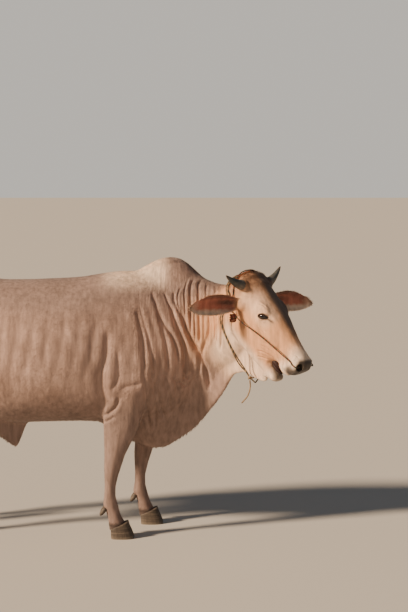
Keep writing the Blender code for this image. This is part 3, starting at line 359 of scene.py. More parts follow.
face_u = Vector((math.cos(FACE_DROP) * math.cos(FACE_TURN), -math.cos(FACE_DROP) * math.sin(FACE_TURN),
                 -math.sin(FACE_DROP)))
face_v = Vector((math.sin(FACE_TURN), math.cos(FACE_TURN), 0))
face_w = face_u.cross(face_v)
FACE = np.array([face_u, face_v, face_w])


def on_face(spots):
    """Places counted from the poll: towards the muzzle, to the bull's left, out of the forehead."""
    return (np.asarray(spots) - np.array(WITHERS + POLL)) @ FACE.T / HEAD_SIZE


def off_face(u, v, w):
    """The place of the scene that on_face gives as u, v, w."""
    return WITHERS + POLL + (face_u * u + face_v * v + face_w * w) * HEAD_SIZE


def piece_of(name, bm):
    """A new piece from a finished mesh in the making."""
    mesh = bpy.data.meshes.new(name)
    bm.to_mesh(mesh)
    bm.free()
    piece = bpy.data.objects.new(name, mesh)
    scene.collection.objects.link(piece)
    return piece


def copied(name, *sources):
    """One piece from copies of carved parts, with their loose triangles merged."""
    bm = bmesh.new()
    for source in sources:
        bm.from_mesh(nodes[source].data)
    bmesh.ops.remove_doubles(bm, verts=bm.verts, dist=MERGE_GAP)
    return piece_of(name, bm)


def settle(piece):
    """Makes what the modifiers show the piece's own mesh."""
    mesh = bpy.data.meshes.new_from_object(piece.evaluated_get(bpy.context.evaluated_depsgraph_get()))
    piece.modifiers.clear()
    piece.data = mesh


def regrained(piece, grain, rounds):
    """Gives a piece an even grain and smooths it for some rounds."""
    fuse = piece.modifiers.new("fuse", "REMESH")
    fuse.mode = "VOXEL"
    fuse.voxel_size = grain
    smooth = piece.modifiers.new("smooth", "SMOOTH")
    smooth.factor = 0.5
    smooth.iterations = rounds
    settle(piece)


def places_of(piece):
    """The places of a piece's points, one to a row."""
    place = np.empty(len(piece.data.vertices) * 3, np.float32)
    piece.data.vertices.foreach_get("co", place)
    return place.reshape(-1, 3).astype(float)


def facings_of(piece):
    """The way that the surface faces at each of a piece's points."""
    facing = np.empty(len(piece.data.vertices) * 3, np.float32)
    piece.data.vertex_normals.foreach_get("vector", facing)
    return facing.reshape(-1, 3).astype(float)


def put_places(piece, place):
    """Moves a piece's points to new places."""
    piece.data.vertices.foreach_set("co", place.astype(np.float32).ravel())
    piece.data.update()


EAR_SIDES = {}
for side, along in ((-1, (-0.92, -0.38, 0.03)), (1, (0.86, 0.50, 0.03))):
    EAR_SIDES[side] = (np.array(off_face(0.090, side * 0.106, -0.100)), np.array(Vector(along).normalized()))
CUP_WAY = np.array(Vector((0.30, -0.92, -0.20)).normalized())


def on_ear(side, spots):
    """How far out along an ear places lie, and how surely they are on it."""
    root, along = EAR_SIDES[side]
    out = (spots - root) @ along
    aside = np.linalg.norm(spots - root - out[:, None] * along, axis=1)
    return out, ramp(out, 0.010, 0.035) * (aside < 0.085)


hide = copied("hide", *FLESH, "eye_right", "eye_left")
regrained(hide, HIDE_GRAIN, 2)
place = places_of(hide)

# The groove behind the chin is partly filled, so that it doesn't part the jaw from the throat
u, v, w = on_face(place).T
hollow = w + 0.315 - 0.75 * (u - 0.385)
fill = 0.75 * np.clip(hollow, 0, 0.040) * ramp(hollow, 0.052, 0.036) * ramp(np.abs(v), 0.058, 0.040)
fill *= ramp(u, 0.380, 0.388) * ramp(u, 0.432, 0.406) * ramp(w, -0.225, -0.245)
place -= fill[:, None] * FACE[2] * HEAD_SIZE
put_places(hide, place)
body = place - np.array(WITHERS)
from_head = np.linalg.norm(on_face(place) - (0.24, 0, -0.12), axis=1)
ears = sum(on_ear(side, place)[1] for side in (-1, 1))
trunk = ramp(body[:, 2], 0.50, 0.66) * ramp(from_head, 0.27, 0.40) * ramp(body[:, 0], -1.37, -1.33)
trunk *= (1 - 0.75 * ramp(body[:, 0], -0.25, 0.0) * ramp(body[:, 2], 0.84, 0.70)) * (1 - ears)
limbs = ramp(body[:, 2], 0.62, 0.50) * ramp(body[:, 2], 0.06, 0.10) * ramp(body[:, 0], 0.10, 0.0)
face = ramp(from_head, 0.36, 0.30) * (1 - ears)
under_jaw = on_face(place) - (0.394, 0, -0.285)
chin_back = ramp(np.linalg.norm(under_jaw[:, (0, 2)], axis=1), 0.060, 0.030)
chin_back *= ramp(under_jaw[:, 2], 0.035, 0.020)
for name, weight, rounds in (("face", face, 7), ("chin_back", chin_back, 90), ("ears", ears, 10),
                             ("limbs", limbs, 32), ("trunk", trunk, 150)):
    group = hide.vertex_groups.new(name=name)
    shares = np.rint(np.clip(weight, 0, 1) * 16).astype(int)
    for share in range(1, 17):
        group.add(np.nonzero(shares == share)[0].tolist(), share / 16, "REPLACE")
    smooth = hide.modifiers.new("smooth", "SMOOTH")
    smooth.factor = 0.5
    smooth.iterations = rounds
    smooth.vertex_group = name
settle(hide)
hide.vertex_groups.clear()

# A finer grain on the face, from the brow to the lips
bm = bmesh.new()
bm.from_mesh(hide.data)
bm.verts.ensure_lookup_table()
spot = on_face(places_of(hide))
fine = (spot[:, 0] > 0.10) & (np.linalg.norm(spot - (0.30, 0, -0.12), axis=1) < 0.30)
fine &= np.abs(spot[:, 1]) < 0.14
edges = [e for e in bm.edges if fine[e.verts[0].index] and fine[e.verts[1].index]]
bmesh.ops.subdivide_edges(bm, edges=edges, cuts=1, use_grid_fill=True, smooth=0.0)
bm.to_mesh(hide.data)
bm.free()
place, facing = places_of(hide), facings_of(hide)
place -= facing * COAT_DEPTH
place[:, 2] -= 0.010 * ramp(place[:, 2], 0.130, 0.095)
put_places(hide, place)
scene.view_layers[0].update()
push = np.zeros(len(place))


def drawn(side, knots, on_head=False):
    """A line on the hide under one drawn on the bull's side, in metres along and up, or along the
    face and out of the forehead; side is -1 for its right and 1 for its left."""
    found = []
    for a, b in smooth_line(knots):
        if on_head:
            start, way = off_face(a, side * 0.5, b), face_v * -side
        else:
            start, way = WITHERS + Vector((a, side * 1.2, b)), Vector((0, -side, 0))
        hit, spot, _, _ = hide.ray_cast(start, way)
        if hit and on_ear(side, np.array([spot]))[1][0] < 0.3:
            found.append(spot)
    return np.array([tuple(p) for p in found])


def press(line, depth, width, roll=0.4, ends=6.0):
    """Presses a fold into the hide along a line, with a soft roll on either side of it."""
    if len(line) < 3:
        return
    low, high = line.min(0) - 5 * width, line.max(0) + 5 * width
    near = np.nonzero(((place > low) & (place < high)).all(1))[0]
    best, along = np.full(len(near), 9.0), np.zeros(len(near))
    for k, (a, b) in enumerate(zip(line, line[1:])):
        t = np.clip((place[near] - a) @ (b - a) / max((b - a) @ (b - a), 1e-12), 0, 1)
        off = np.linalg.norm(place[near] - a - t[:, None] * (b - a), axis=1)
        closer = off < best
        best[closer] = off[closer]
        along[closer] = (k + t[closer]) / (len(line) - 1)
    fade = ramp(np.minimum(along, 1 - along) * ends, 0, 1)
    rolls = np.exp(-(((best - 2.6 * width) / (1.5 * width)) ** 2))
    fold = fade * depth * (roll * rolls - np.exp(-((best / width) ** 2)))
    push[near] += np.where(fold < 0, fold * np.clip(1 + push[near] / 0.010, 0.1, 1), fold)


def swell(centre, radii, height, turn=0.0, side=0):
    """Raises a soft mound on the trunk, or sinks one, about a place given as (x, z)."""
    x, z = place[:, 0] - WITHERS.x - centre[0], place[:, 2] - centre[1]
    c, s = math.cos(math.radians(turn)), math.sin(math.radians(turn))
    mound = np.exp(-(((x * c + z * s) / radii[0]) ** 2) - ((z * c - x * s) / radii[1]) ** 2)
    if side:
        mound *= ramp(side * (place[:, 1] - WITHERS.y), -0.01, 0.06)
    push[:] += height * mound


# Folds of the neck and shoulder, each drawn from its top down: depth and width in millimetres
NECK_FOLDS = (
    (5, 9, ((-0.094, 1.190), (-0.072, 1.141), (-0.057, 1.094), (-0.036, 1.036), (-0.019, 0.977))),
    (7, 11, ((-0.160, 1.119), (-0.146, 1.050), (-0.129, 0.968), (-0.122, 0.882), (-0.118, 0.792))),
    (5, 8, ((-0.146, 1.133), (-0.125, 1.050), (-0.102, 0.968), (-0.085, 0.881), (-0.064, 0.789))),
    (6, 8, ((-0.071, 1.095), (-0.043, 1.024), (-0.024, 0.954), (-0.012, 0.863), (-0.008, 0.780))),
    (7, 7, ((-0.060, 1.094), (-0.024, 1.024), (0.011, 0.964), (0.032, 0.904), (0.040, 0.830))),
    (11, 9, ((-0.008, 1.130), (0.023, 1.046), (0.051, 0.975), (0.070, 0.902), (0.072, 0.810),
             (0.070, 0.720))),
    (14, 10, ((0.040, 1.110), (0.070, 1.022), (0.094, 0.962), (0.136, 0.891), (0.165, 0.817),
              (0.180, 0.741), (0.190, 0.690))),
    (7, 5.5, ((0.112, 1.236), (0.096, 1.200), (0.096, 1.111), (0.098, 1.022), (0.100, 0.950))),
    (7, 5.0, ((0.150, 1.238), (0.134, 1.205), (0.135, 1.140), (0.136, 1.070), (0.139, 0.999),
              (0.142, 0.917))),
    (7, 5.0, ((0.190, 1.238), (0.172, 1.205), (0.172, 1.140), (0.183, 1.061), (0.183, 0.997),
              (0.179, 0.920))),
    (7, 5.0, ((0.230, 1.232), (0.214, 1.200), (0.222, 1.140), (0.238, 1.054), (0.241, 0.983),
              (0.238, 0.900))),
    (4, 3.5, ((0.085, 1.238), (0.068, 1.180), (0.070, 1.110), (0.074, 1.050))),
    (4, 3.5, ((0.116, 1.170), (0.116, 1.090), (0.118, 1.010), (0.122, 0.930))),
    (4, 3.5, ((0.154, 1.190), (0.156, 1.110), (0.160, 1.030), (0.161, 0.950))),
    (4, 3.5, ((0.196, 1.190), (0.204, 1.110), (0.212, 1.030), (0.210, 0.950))),
    (4, 3.5, ((0.050, 1.200), (0.034, 1.150), (0.046, 1.090))),
    (4, 5, ((-0.030, 1.180), (-0.010, 1.130), (0.020, 1.075))),
    (4, 5, ((0.018, 1.180), (0.020, 1.140), (0.044, 1.070))),
)
for depth, width, knots in NECK_FOLDS:
    press(drawn(-1, knots), depth / 1000, width / 1000)
    press(drawn(1, knots), depth / 2200, width / 800)

# Long hanging folds of the dewlap, which run down and forward to its edge on both sides
for k in range(9):
    x = -0.115 + 0.034 * k
    top, foot = 0.83 - 0.012 * k, 0.47 + 0.020 * k + 0.006 * k * k
    bow = 0.014 * math.sin(2.1 * k)
    knots = ((x - 0.012, top), (x + bow, 0.6 * top + 0.4 * foot), (x + 0.016 - bow, foot))
    for side in (-1, 1):
        press(drawn(side, knots), 0.006 + 0.0015 * math.sin(1.7 * k + side), 0.0075)

# The upper arm's rear edge, its long muscle, the elbow's loose flap and the arm's upper border
ARM_LINES = (
    (10, 17, ((-0.289, 1.030), (-0.292, 0.950), (-0.297, 0.880), (-0.322, 0.797), (-0.322, 0.708),
              (-0.309, 0.597))),
    (5, 12, ((-0.247, 0.936), (-0.243, 0.842), (-0.249, 0.770), (-0.282, 0.712))),
    (8, 8, ((-0.315, 0.590), (-0.274, 0.620), (-0.250, 0.650), (-0.238, 0.695))),
    (4, 11, ((-0.235, 0.727), (-0.188, 0.742), (-0.127, 0.754))),
    (4, 7, ((-0.318, 0.560), (-0.290, 0.575), (-0.255, 0.600))),
)
for depth, width, knots in ARM_LINES:
    press(drawn(-1, knots), depth / 1000, width / 1000, roll=0.3)
    far = [(x + 0.10, z) for x, z in knots]
    press(drawn(1, far), depth / 1400, width / 1000, roll=0.3)
swell((-0.19, 0.90), (0.075, 0.15), 0.010, turn=-8)
swell((-0.27, 0.73), (0.045, 0.075), 0.012, side=-1)
swell((-0.165, 0.69), (0.045, 0.060), 0.009, side=-1)

# Ribs under the thin skin, the hollow of the flank and the shallow dip behind the shoulder
for k in range(8):
    x = -0.345 - 0.072 * k
    knots = ((x, 1.13), (x - 0.004, 1.00), (x - 0.030, 0.86), (x - 0.075, 0.72))
    for side in (-1, 1):
        press(drawn(side, knots), 0.0030, 0.019, roll=0.55, ends=3.0)
swell((-0.860, 1.060), (0.085, 0.075), -0.020, turn=-25)
swell((-0.345, 0.93), (0.050, 0.160), -0.008)
swell((-1.020, 0.800), (0.040, 0.120), -0.006, turn=18)

# Wrinkles of the cheek, jaw, brow and nose, drawn along the face and out of the forehead
FACE_FOLDS = (
    (3.2, 3.0, ((0.300, -0.205), (0.335, -0.180), (0.375, -0.168), (0.402, -0.168))),
    (2.6, 2.8, ((0.290, -0.170), (0.325, -0.155), (0.365, -0.148), (0.395, -0.150))),
    (2.2, 2.6, ((0.300, -0.140), (0.335, -0.130), (0.372, -0.128))),
    (2.4, 3.0, ((0.315, -0.235), (0.345, -0.210), (0.378, -0.192))),
    (2.2, 3.5, ((0.120, -0.150), (0.160, -0.160), (0.205, -0.175))),
    (2.0, 3.0, ((0.150, -0.025), (0.170, -0.012), (0.200, -0.006))),
    (1.8, 2.6, ((0.236, -0.085), (0.262, -0.088), (0.290, -0.082))),
    (1.6, 2.4, ((0.228, -0.096), (0.252, -0.104), (0.280, -0.104))),
    (1.8, 2.6, ((0.420, -0.100), (0.445, -0.118), (0.462, -0.140))),
    (1.5, 2.4, ((0.440, -0.060), (0.465, -0.048), (0.490, -0.046))),
)
push *= 1 - sum(on_ear(side, place)[1] for side in (-1, 1))
for depth, width, knots in FACE_FOLDS:
    for side in (-1, 1):
        press(drawn(side, knots, on_head=True), depth / 1000, width / 1000, roll=0.5, ends=4.0)
place += facing * push[:, None]

# Lids round each eye, with a sharp margin that stands just off the eyeball
EYE = (0.214, 0.0800, -0.050)
EYE_RADIUS = 0.0245
EYE_HALF_WIDTH, LID_ABOVE, LID_BELOW = 0.0235, 0.0150, 0.0120
eye_sides = {}
for side in (-1, 1):
    look = np.array(Vector((0.26, side * 0.84, 0.36)).normalized())
    corner = np.array((0.75, -side * 0.43, 0.50))
    corner -= look * (corner @ look)
    corner /= np.linalg.norm(corner)
    centre = np.array((EYE[0], side * EYE[1], EYE[2]))
    eye_sides[side] = (centre, corner, np.cross(look, corner) * -side, look)


def on_lid(side, spots):
    """How far out of an eye's opening places lie, with 1 on its margin, whether they are near it,
    and their offsets towards its front corner and up."""
    centre, corner, up, look = eye_sides[side]
    off = on_face(spots) - centre
    a, b, g = off @ corner, off @ up, off @ look
    tall = np.where(b > 0, LID_ABOVE, LID_BELOW) * (1 - 0.15 * ramp(a, 0.0, 0.02))
    gap = (np.abs((a - 0.001) / EYE_HALF_WIDTH) ** 1.7 + np.abs(b / tall) ** 1.7) ** (1 / 1.7)
    return gap, (g > 0.004) & (np.linalg.norm(off, axis=1) < 0.075), a, b


for side in (-1, 1):
    gap, near, _, b = on_lid(side, place)
    gap, b = gap[near], b[near]
    off = on_face(place[near]) - eye_sides[side][0]
    reach = np.linalg.norm(off, axis=1)
    seat = np.where(gap < 1, EYE_RADIUS - 0.0050, EYE_RADIUS + 0.0024 + 0.0010 * ramp(gap, 1.0, 1.5))
    seat -= np.where(gap > 1, 0.0017 * np.exp(-(((gap - 1.62) / 0.10) ** 2)), 0)
    seat += np.where(b > 0, 0.0022 * np.exp(-(((gap - 2.0) / 0.25) ** 2)), 0)
    hold = ramp(gap, 2.5, 1.5)
    moved = eye_sides[side][0] + off * ((reach * (1 - hold) + seat * hold) / reach)[:, None]
    place[near] = np.array(WITHERS + POLL) + moved * HEAD_SIZE @ FACE

put_places(hide, place)
thin = hide.modifiers.new("thin", "DECIMATE")
thin.use_collapse_triangulate = True
thin.ratio = HIDE_TRIANGLES / sum(len(f.vertices) - 2 for f in hide.data.polygons)
settle(hide)
hide.data.shade_smooth()
worn(hide, "cream_coat", *FLESH)


HEAD_MIDDLE = (0.25, 0, -0.12)


def head_reach(spots):
    """How far places lie from the head's middle."""
    return np.linalg.norm(on_face(spots) - HEAD_MIDDLE, axis=1)


def tints(spots, facing):
    """How grey, gold, pale, dark and pink the coat is at each place: five columns from 0 to 1. Besides the
    coat's own colours, the pale holds painted light on the hump's top and the near temple, the grey holds
    painted shade on the far brow and under the body, and the dark holds painted shade on the far brow, in
    the ears' cups, in the nostrils and along the parting of the lips.
    """
    body, face = spots - np.array(WITHERS), on_face(spots)
    x, z = body[:, 0], body[:, 2]
    u, v, w = face.T
    head = ramp(head_reach(spots), 0.44, 0.32)
    # The hump's top, which the low light falls on, is painted pale: painted light, kept out of the grey
    hump = ramp(x, -0.36, -0.24) * ramp(x, 0.02, -0.06) * ramp(z, 1.16, 1.26)
    grey = 0.60 * ramp(z, 0.98, 1.16) * ramp(facing[:, 2], -0.1, 0.6) * (1 - hump)
    # Painted shade under the body: the coat is painted greyer and darker low on the dewlap, the lower neck,
    # the breast, the belly and the legs
    grey += 0.50 * ramp(z, 0.95, 0.60) * ramp(x, -0.30, -0.05) * ramp(x, 0.45, 0.08)
    grey += 0.60 * ramp(z, 0.74, 0.58) * (1 - ramp(x, -0.26, -0.08))
    # Painted shade on the far half of the forehead, which turns away from the light, over its own browner
    # hair: painted darker grey, and partly dark below the crown
    shaded_far_brow = ramp(v, -0.024, 0.014) * ramp(w, -0.085, -0.040) * ramp(u, 0.44, 0.28)
    crown = ramp(u, 0.12, 0.03) * ramp(w, -0.15, -0.07)
    grey = np.maximum(grey * (1 - head), head * np.maximum(0.95 * shaded_far_brow, 0.30 * crown))
    gold = np.maximum(head, 0.8 * ramp(x, 0.02, 0.20) * ramp(z, 0.80, 0.95) * ramp(z, 1.22, 1.10))
    muzzle = ramp(u + 0.4 * np.abs(w + 0.09), 0.41, 0.50)
    under = 0.8 * ramp(w, -0.205, -0.265) * ramp(u, 0.02, 0.12)
    # Painted light: the temple and brow on the near side only, which the light falls on, are painted pale
    lit_temple = 0.45 * ramp(v, 0.0, -0.05) * ramp(w, -0.12, -0.05) * ramp(u, 0.02, 0.10) * ramp(u, 0.30, 0.24)
    pale = np.maximum(head * np.maximum(np.maximum(muzzle, under), lit_temple), 0.90 * hump)
    dark, pink = 0.55 * head * shaded_far_brow * ramp(u, 0.03, 0.07), np.zeros(len(spots))
    for side in (-1, 1):
        gap, near, a, b = on_lid(side, spots)
        tear = np.exp(-(((b + 0.005 + 0.35 * (a - 0.026)) / 0.0060) ** 2))
        tear *= ramp(a, 0.018, 0.026) * ramp(a, 0.070, 0.048)
        dark = np.maximum(dark, near * np.maximum(ramp(gap, 1.32, 1.05), 0.85 * tear))
        out, ear = on_ear(side, spots)
        up = (spots - EAR_SIDES[side][0]) @ np.cross(EAR_SIDES[side][1], CUP_WAY) * -side
        up = up + 0.002 * np.sin(190 * out) + 0.0015 * np.sin(410 * out + 1)
        ear = ear * ramp(np.abs(up), 0.060, 0.052)
        inside = ear * ramp(facing @ CUP_WAY, 0.05, 0.45)
        pink = np.maximum(pink, inside * ramp(up, -0.042, -0.020) * ramp(out, 0.240, 0.195))
        # Painted shade down the middle groove of the ear's cup, and a darker brown along the cup's upper
        # side
        gully = ramp(np.abs(up - 0.003), 0.020, 0.004) * ramp(out, 0.170, 0.060)
        gully = np.maximum(gully, 0.8 * ramp(up, 0.010, 0.032) * ramp(out, 0.230, 0.150))
        dark = np.maximum(dark, 0.80 * inside * gully)
        pale = np.maximum(pale, 0.9 * ear * ramp(up, -0.016, -0.034))
        # Painted shade: each nostril is painted black in place of the shade inside its opening
        hole = ((face - (0.510, side * 0.036, -0.074)) / (0.040, 0.0165, 0.0225)) ** 2
        dark = np.maximum(dark, head * np.exp(-(hole.sum(1) ** 4)))
    pad = ramp(u - 0.36 * (w + 0.095), 0.476, 0.494) * ramp(w, -0.160, -0.140) * ramp(w, -0.022, -0.036)
    pad *= ramp(np.abs(v), 0.064, 0.048)
    # Painted shade along the parting of the lips, where the mouth stands a little open
    gape = np.exp(-(((w + 0.207 + 0.16 * (u - 0.44)) / (0.010 + 0.20 * np.clip(u - 0.37, 0, 0.2))) ** 4))
    gape *= ramp(np.abs(v), 0.052, 0.036) * ramp(u, 0.36, 0.40) * ramp(u, 0.55, 0.50)
    dark = np.maximum(dark, head * np.maximum(0.92 * pad, 0.75 * gape))
    dark = np.maximum(dark, 0.8 * ramp(z, 0.092, 0.076))
    return np.clip(np.column_stack([grey, gold, pale, dark, pink]), 0, 1)


def keep(piece, name, values):
    """Keeps a value on each of a piece's points under a name."""
    layer = piece.data.attributes.new(name, "FLOAT", "POINT")
    layer.data.foreach_set("value", np.ascontiguousarray(values, np.float32))


def tint(piece, values):
    """Keeps the five tints on the piece's points."""
    for name, column in zip(("grey", "gold", "pale", "dark", "pink"), values.T):
        keep(piece, name, column)


def between(tree, value, low, high, bottom=0.0, top=1.0):
    """A value mapped from low and high to bottom and top."""
    limits = {"Value": value, "From Min": low, "From Max": high, "To Min": bottom, "To Max": top}
    return node(tree, "MapRange", limits).outputs["Result"]


def over(tree, below, above, share, mode="MIX"):
    """A second colour laid over a first by a share."""
    below, above = ((*c, 1) if isinstance(c, tuple) else c for c in (below, above))
    mix = node(tree, "Mix", {"Factor": share, "A": below, "B": above}, data_type="RGBA", blend_type=mode)
    return mix.outputs["Result"]


def kept(tree, name):
    """What a piece's points keep under a name."""
    return node(tree, "Attribute", attribute_name=name).outputs["Fac"]


# The coat's colours, shared by the skin and the tufts that stand on it, with the painted light and shade
# that its tints carry
coat_colour = bpy.data.node_groups.new("coat_colour", "ShaderNodeTree")
coat_colour.interface.new_socket("Place", in_out="INPUT", socket_type="NodeSocketVector")
coat_colour.interface.new_socket("Lift", in_out="INPUT", socket_type="NodeSocketFloat")
coat_colour.interface.new_socket("Color", in_out="OUTPUT", socket_type="NodeSocketColor")
coat_colour.interface.new_socket("Wet", in_out="OUTPUT", socket_type="NodeSocketFloat")
tree = coat_colour
given, gives = tree.nodes.new("NodeGroupInput"), tree.nodes.new("NodeGroupOutput")
patch = node(tree, "TexNoise", {"Vector": given.outputs["Place"], "Scale": 7, "Detail": 4}).outputs["Fac"]
stretched = node(tree, "Mapping", {"Vector": given.outputs["Place"], "Scale": (55, 55, 9)}).outputs["Vector"]
streak = node(tree, "TexNoise", {"Vector": stretched, "Scale": 1, "Detail": 3}).outputs["Fac"]
coat = over(tree, (0.345, 0.228, 0.180), (0.465, 0.315, 0.255), between(tree, patch, 0.35, 0.70))
coat = over(tree, coat, (0.680, 0.365, 0.195), kept(tree, "gold"))
# The grey is the coat's own grey-mauve along the top of the back and on the poll, and painted shade on the
# far brow and under the body
coat = over(tree, coat, (0.205, 0.150, 0.132), kept(tree, "grey"))
# The pale is the coat's own pale on the muzzle, throat and ear edges, and painted light on the hump's top
# and the near temple
coat = over(tree, coat, (0.800, 0.640, 0.500), kept(tree, "pale"))
coat = over(tree, coat, (0.450, 0.165, 0.115), kept(tree, "pink"))
streaked = between(tree, streak, 0.30, 0.72, 0.74, 1.16)
lift = node(tree, "Math", {0: streaked, 1: given.outputs["Lift"]}, operation="MULTIPLY").outputs[0]
coat = over(tree, coat, lift, 1.0, "MULTIPLY")
# The dark is the real dark skin of the nose pad, lids, tear marks and coronets, and painted shade on the far
# brow, in the ears' cups, in the nostrils and along the parting of the lips
coat = over(tree, coat, (0.022, 0.017, 0.016), kept(tree, "dark"))
tree.links.new(coat, gives.inputs["Color"])
tree.links.new(kept(tree, "dark"), gives.inputs["Wet"])


def coat_material(name, lift, hair):
    """The coat's shader: its colours, a soft sheen and, where hair is not 0, a fine hairy bump."""
    made, tree, shader, spot = shaded(name, 0.78, 0.26)
    shader.inputs["Sheen Weight"].default_value = 0.12
    shader.inputs["Sheen Roughness"].default_value = 0.45
    colours = tree.nodes.new("ShaderNodeGroup")
    colours.node_tree = coat_colour
    colours.inputs["Lift"].default_value = lift
    tree.links.new(spot, colours.inputs["Place"])
    tree.links.new(colours.outputs["Color"], shader.inputs["Base Color"])
    rough = between(tree, colours.outputs["Wet"], 0.3, 1.0, 0.78, 0.42)
    tree.links.new(rough, shader.inputs["Roughness"])
    if hair:
        turned = {"Vector": spot, "Scale": (130, 420, 160), "Rotation": (0, math.radians(28), 0)}
        lie = node(tree, "Mapping", turned).outputs["Vector"]
        nap = node(tree, "TexNoise", {"Vector": lie, "Scale": 1, "Detail": 4}).outputs["Fac"]
        upright = node(tree, "Mapping", {"Vector": spot, "Scale": (46, 14, 5)}).outputs["Vector"]
        crease = node(tree, "TexNoise", {"Vector": upright, "Scale": 1, "Detail": 2}).outputs["Fac"]
        loose = node(tree, "Math", {0: crease, 1: kept(tree, "loose")}, operation="MULTIPLY").outputs[0]
        wrinkled = node(tree, "Bump", {"Height": loose, "Strength": 0.7, "Distance": 0.010})
        bump = node(tree, "Bump", {"Height": nap, "Strength": 0.55, "Distance": hair})
        tree.links.new(wrinkled.outputs["Normal"], bump.inputs["Normal"])
        tree.links.new(bump.outputs["Normal"], shader.inputs["Normal"])
    return made


place, facing = places_of(hide), facings_of(hide)
tint(hide, tints(place, facing))
x, z = place[:, 0] - WITHERS.x, place[:, 2]
loose = 0.25 + 0.75 * ramp(x, -0.25, -0.10) * ramp(z, 0.58, 0.72)
loose *= ramp(head_reach(place), 0.30, 0.42) * ramp(z, 0.45, 0.62)
keep(hide, "loose", loose)
hide.data.materials.append(coat_material("coat_skin", 1.0, 0.0012))


# The eyes: dark wet balls that fill their sockets, with a clear bulge in front of a brown iris and a wide
# flat pupil. Dark rims line the lids.
bm = bmesh.new()
gaze = bm.loops.layers.uv.new("Gaze")
for side in (-1, 1):
    centre, corner, up, look = eye_sides[side]
    ball = bmesh.ops.create_uvsphere(bm, u_segments=48, v_segments=32, radius=1.0)["verts"]
    axes = np.column_stack([corner @ FACE, up @ FACE, look @ FACE])
    before = {v: tuple(v.co) for v in ball}
    for v in ball:
        x, y, z = before[v]
        bulge = 1 + 0.055 * max(0.0, 1 - (x * x + y * y) / 0.42) ** 1.2 * (z > 0)
        v.co = off_face(*centre) + Vector(axes @ (x, y, z * bulge)) * (EYE_RADIUS * HEAD_SIZE * 0.985)
    for face in {f for v in ball for f in v.link_faces}:
        for loop in face.loops:
            x, y, z = before[loop.vert]
            reach = math.hypot(x, y)
            spread = 1.0 if z > 0 or reach < 1e-6 else (2 - reach) / reach
            loop[gaze].uv = (0.5 + 0.25 * x * spread, 0.5 + 0.25 * y * spread)
bmesh.ops.recalc_face_normals(bm, faces=bm.faces)
eyes = piece_of("eyes", bm)
eyes.data.shade_smooth()
wet_eye, tree, shader, _ = shaded("wet_eye", 0.06, 0.5)
shader.inputs["IOR"].default_value = 1.38
shader.inputs["Coat Weight"].default_value = 1.0
shader.inputs["Coat Roughness"].default_value = 0.02
gaze_map = node(tree, "UVMap", uv_map="Gaze").outputs["UV"]
about_middle = {"Vector": gaze_map, "Location": (-2, -2, 0), "Scale": (4, 4, 1)}
centred = node(tree, "Mapping", about_middle).outputs["Vector"]
flat = node(tree, "Mapping", {"Vector": centred, "Scale": (0.72, 1.55, 1)}).outputs["Vector"]
rays = node(tree, "TexNoise", {"Vector": centred, "Scale": 9, "Detail": 4}).outputs["Fac"]
from_pupil = node(tree, "VectorMath", {0: flat}, operation="LENGTH").outputs["Value"]
from_middle = node(tree, "VectorMath", {0: centred}, operation="LENGTH").outputs["Value"]
ball_colour = over(tree, (0.022, 0.011, 0.006), (0.060, 0.028, 0.014), between(tree, rays, 0.35, 0.65))
ball_colour = over(tree, (0.004, 0.004, 0.006), ball_colour, between(tree, from_pupil, 0.30, 0.36))
ball_colour = over(tree, ball_colour, (0.012, 0.008, 0.007), between(tree, from_middle, 0.56, 0.66))
ball_colour = over(tree, ball_colour, (0.150, 0.100, 0.080), between(tree, from_middle, 0.74, 0.86))
tree.links.new(ball_colour, shader.inputs["Base Color"])
eyes.data.materials.append(wet_eye)
worn(eyes, "dark_eye", "eye_right", "eye_left")


def lid_margin(side, share):
    """The point of the lids' margin at a share of the way round an eye's opening."""
    centre, corner, up, look = eye_sides[side]
    c, s = math.cos(2 * math.pi * share), math.sin(2 * math.pi * share)
    a = EYE_HALF_WIDTH * math.copysign(abs(c) ** 1.18, c) + 0.001
    b = (LID_ABOVE if s > 0 else LID_BELOW) * math.copysign(abs(s) ** 1.18, s)
    b *= 1 - 0.1 * max(0.0, a / 0.024)
    g = math.sqrt((EYE_RADIUS + 0.0013) ** 2 - a * a - b * b)
    return off_face(*(centre + corner * a + up * b + look * g))


margin = bpy.data.curves.new("lid_rims", "CURVE")
margin.dimensions = "3D"
margin.bevel_depth = 0.0013
margin.bevel_resolution = 1
for side in (-1, 1):
    spline = margin.splines.new("POLY")
    spline.points.add(71)
    for k, point in enumerate(spline.points):
        point.co = (*lid_margin(side, k / 72), 1)
    spline.use_cyclic_u = True
    spline.use_smooth = True
dark_lid, tree, shader, spot = shaded("dark_lid", 0.35, 0.4)
blot = node(tree, "TexNoise", {"Vector": spot, "Scale": 240}).outputs["Fac"]
tree.links.new(over(tree, (0.020, 0.014, 0.013), (0.065, 0.042, 0.036), blot), shader.inputs["Base Color"])
margin.materials.append(dark_lid)
worn(as_mesh(margin), "dark_eye")


# The mouth: it stands a little open, with the tongue lying dark between the jaws on the mouth's lining, all
# well inside the lips. Both are coloured near black: painted shade inside the mouth, over the tongue's own
# dark colour.
TONGUE = ((0.413, 0, -0.207), (0.046, 0.021, 0.012))
LINING = ((0.392, 0, -0.190), (0.056, 0.029, 0.020))
bm = bmesh.new()
for middle, radii in (TONGUE, LINING):
    ball = bmesh.ops.create_uvsphere(bm, u_segments=40, v_segments=24, radius=1.0)["verts"]
    for v in ball:
        dip = 0.16 * math.exp(-((v.co.y / 0.2) ** 2)) * (v.co.z > 0)
        rise = v.co.z * radii[2] * (1 - dip)
        v.co = off_face(middle[0] + v.co.x * radii[0], v.co.y * radii[1], middle[2] + rise)
bmesh.ops.recalc_face_normals(bm, faces=bm.faces)
mouth = piece_of("mouth_inside", bm)
mouth.data.shade_smooth()
tongue_and_mouth_shade, tree, shader, spot = shaded("tongue_and_mouth_shade", 0.55, 0.25)
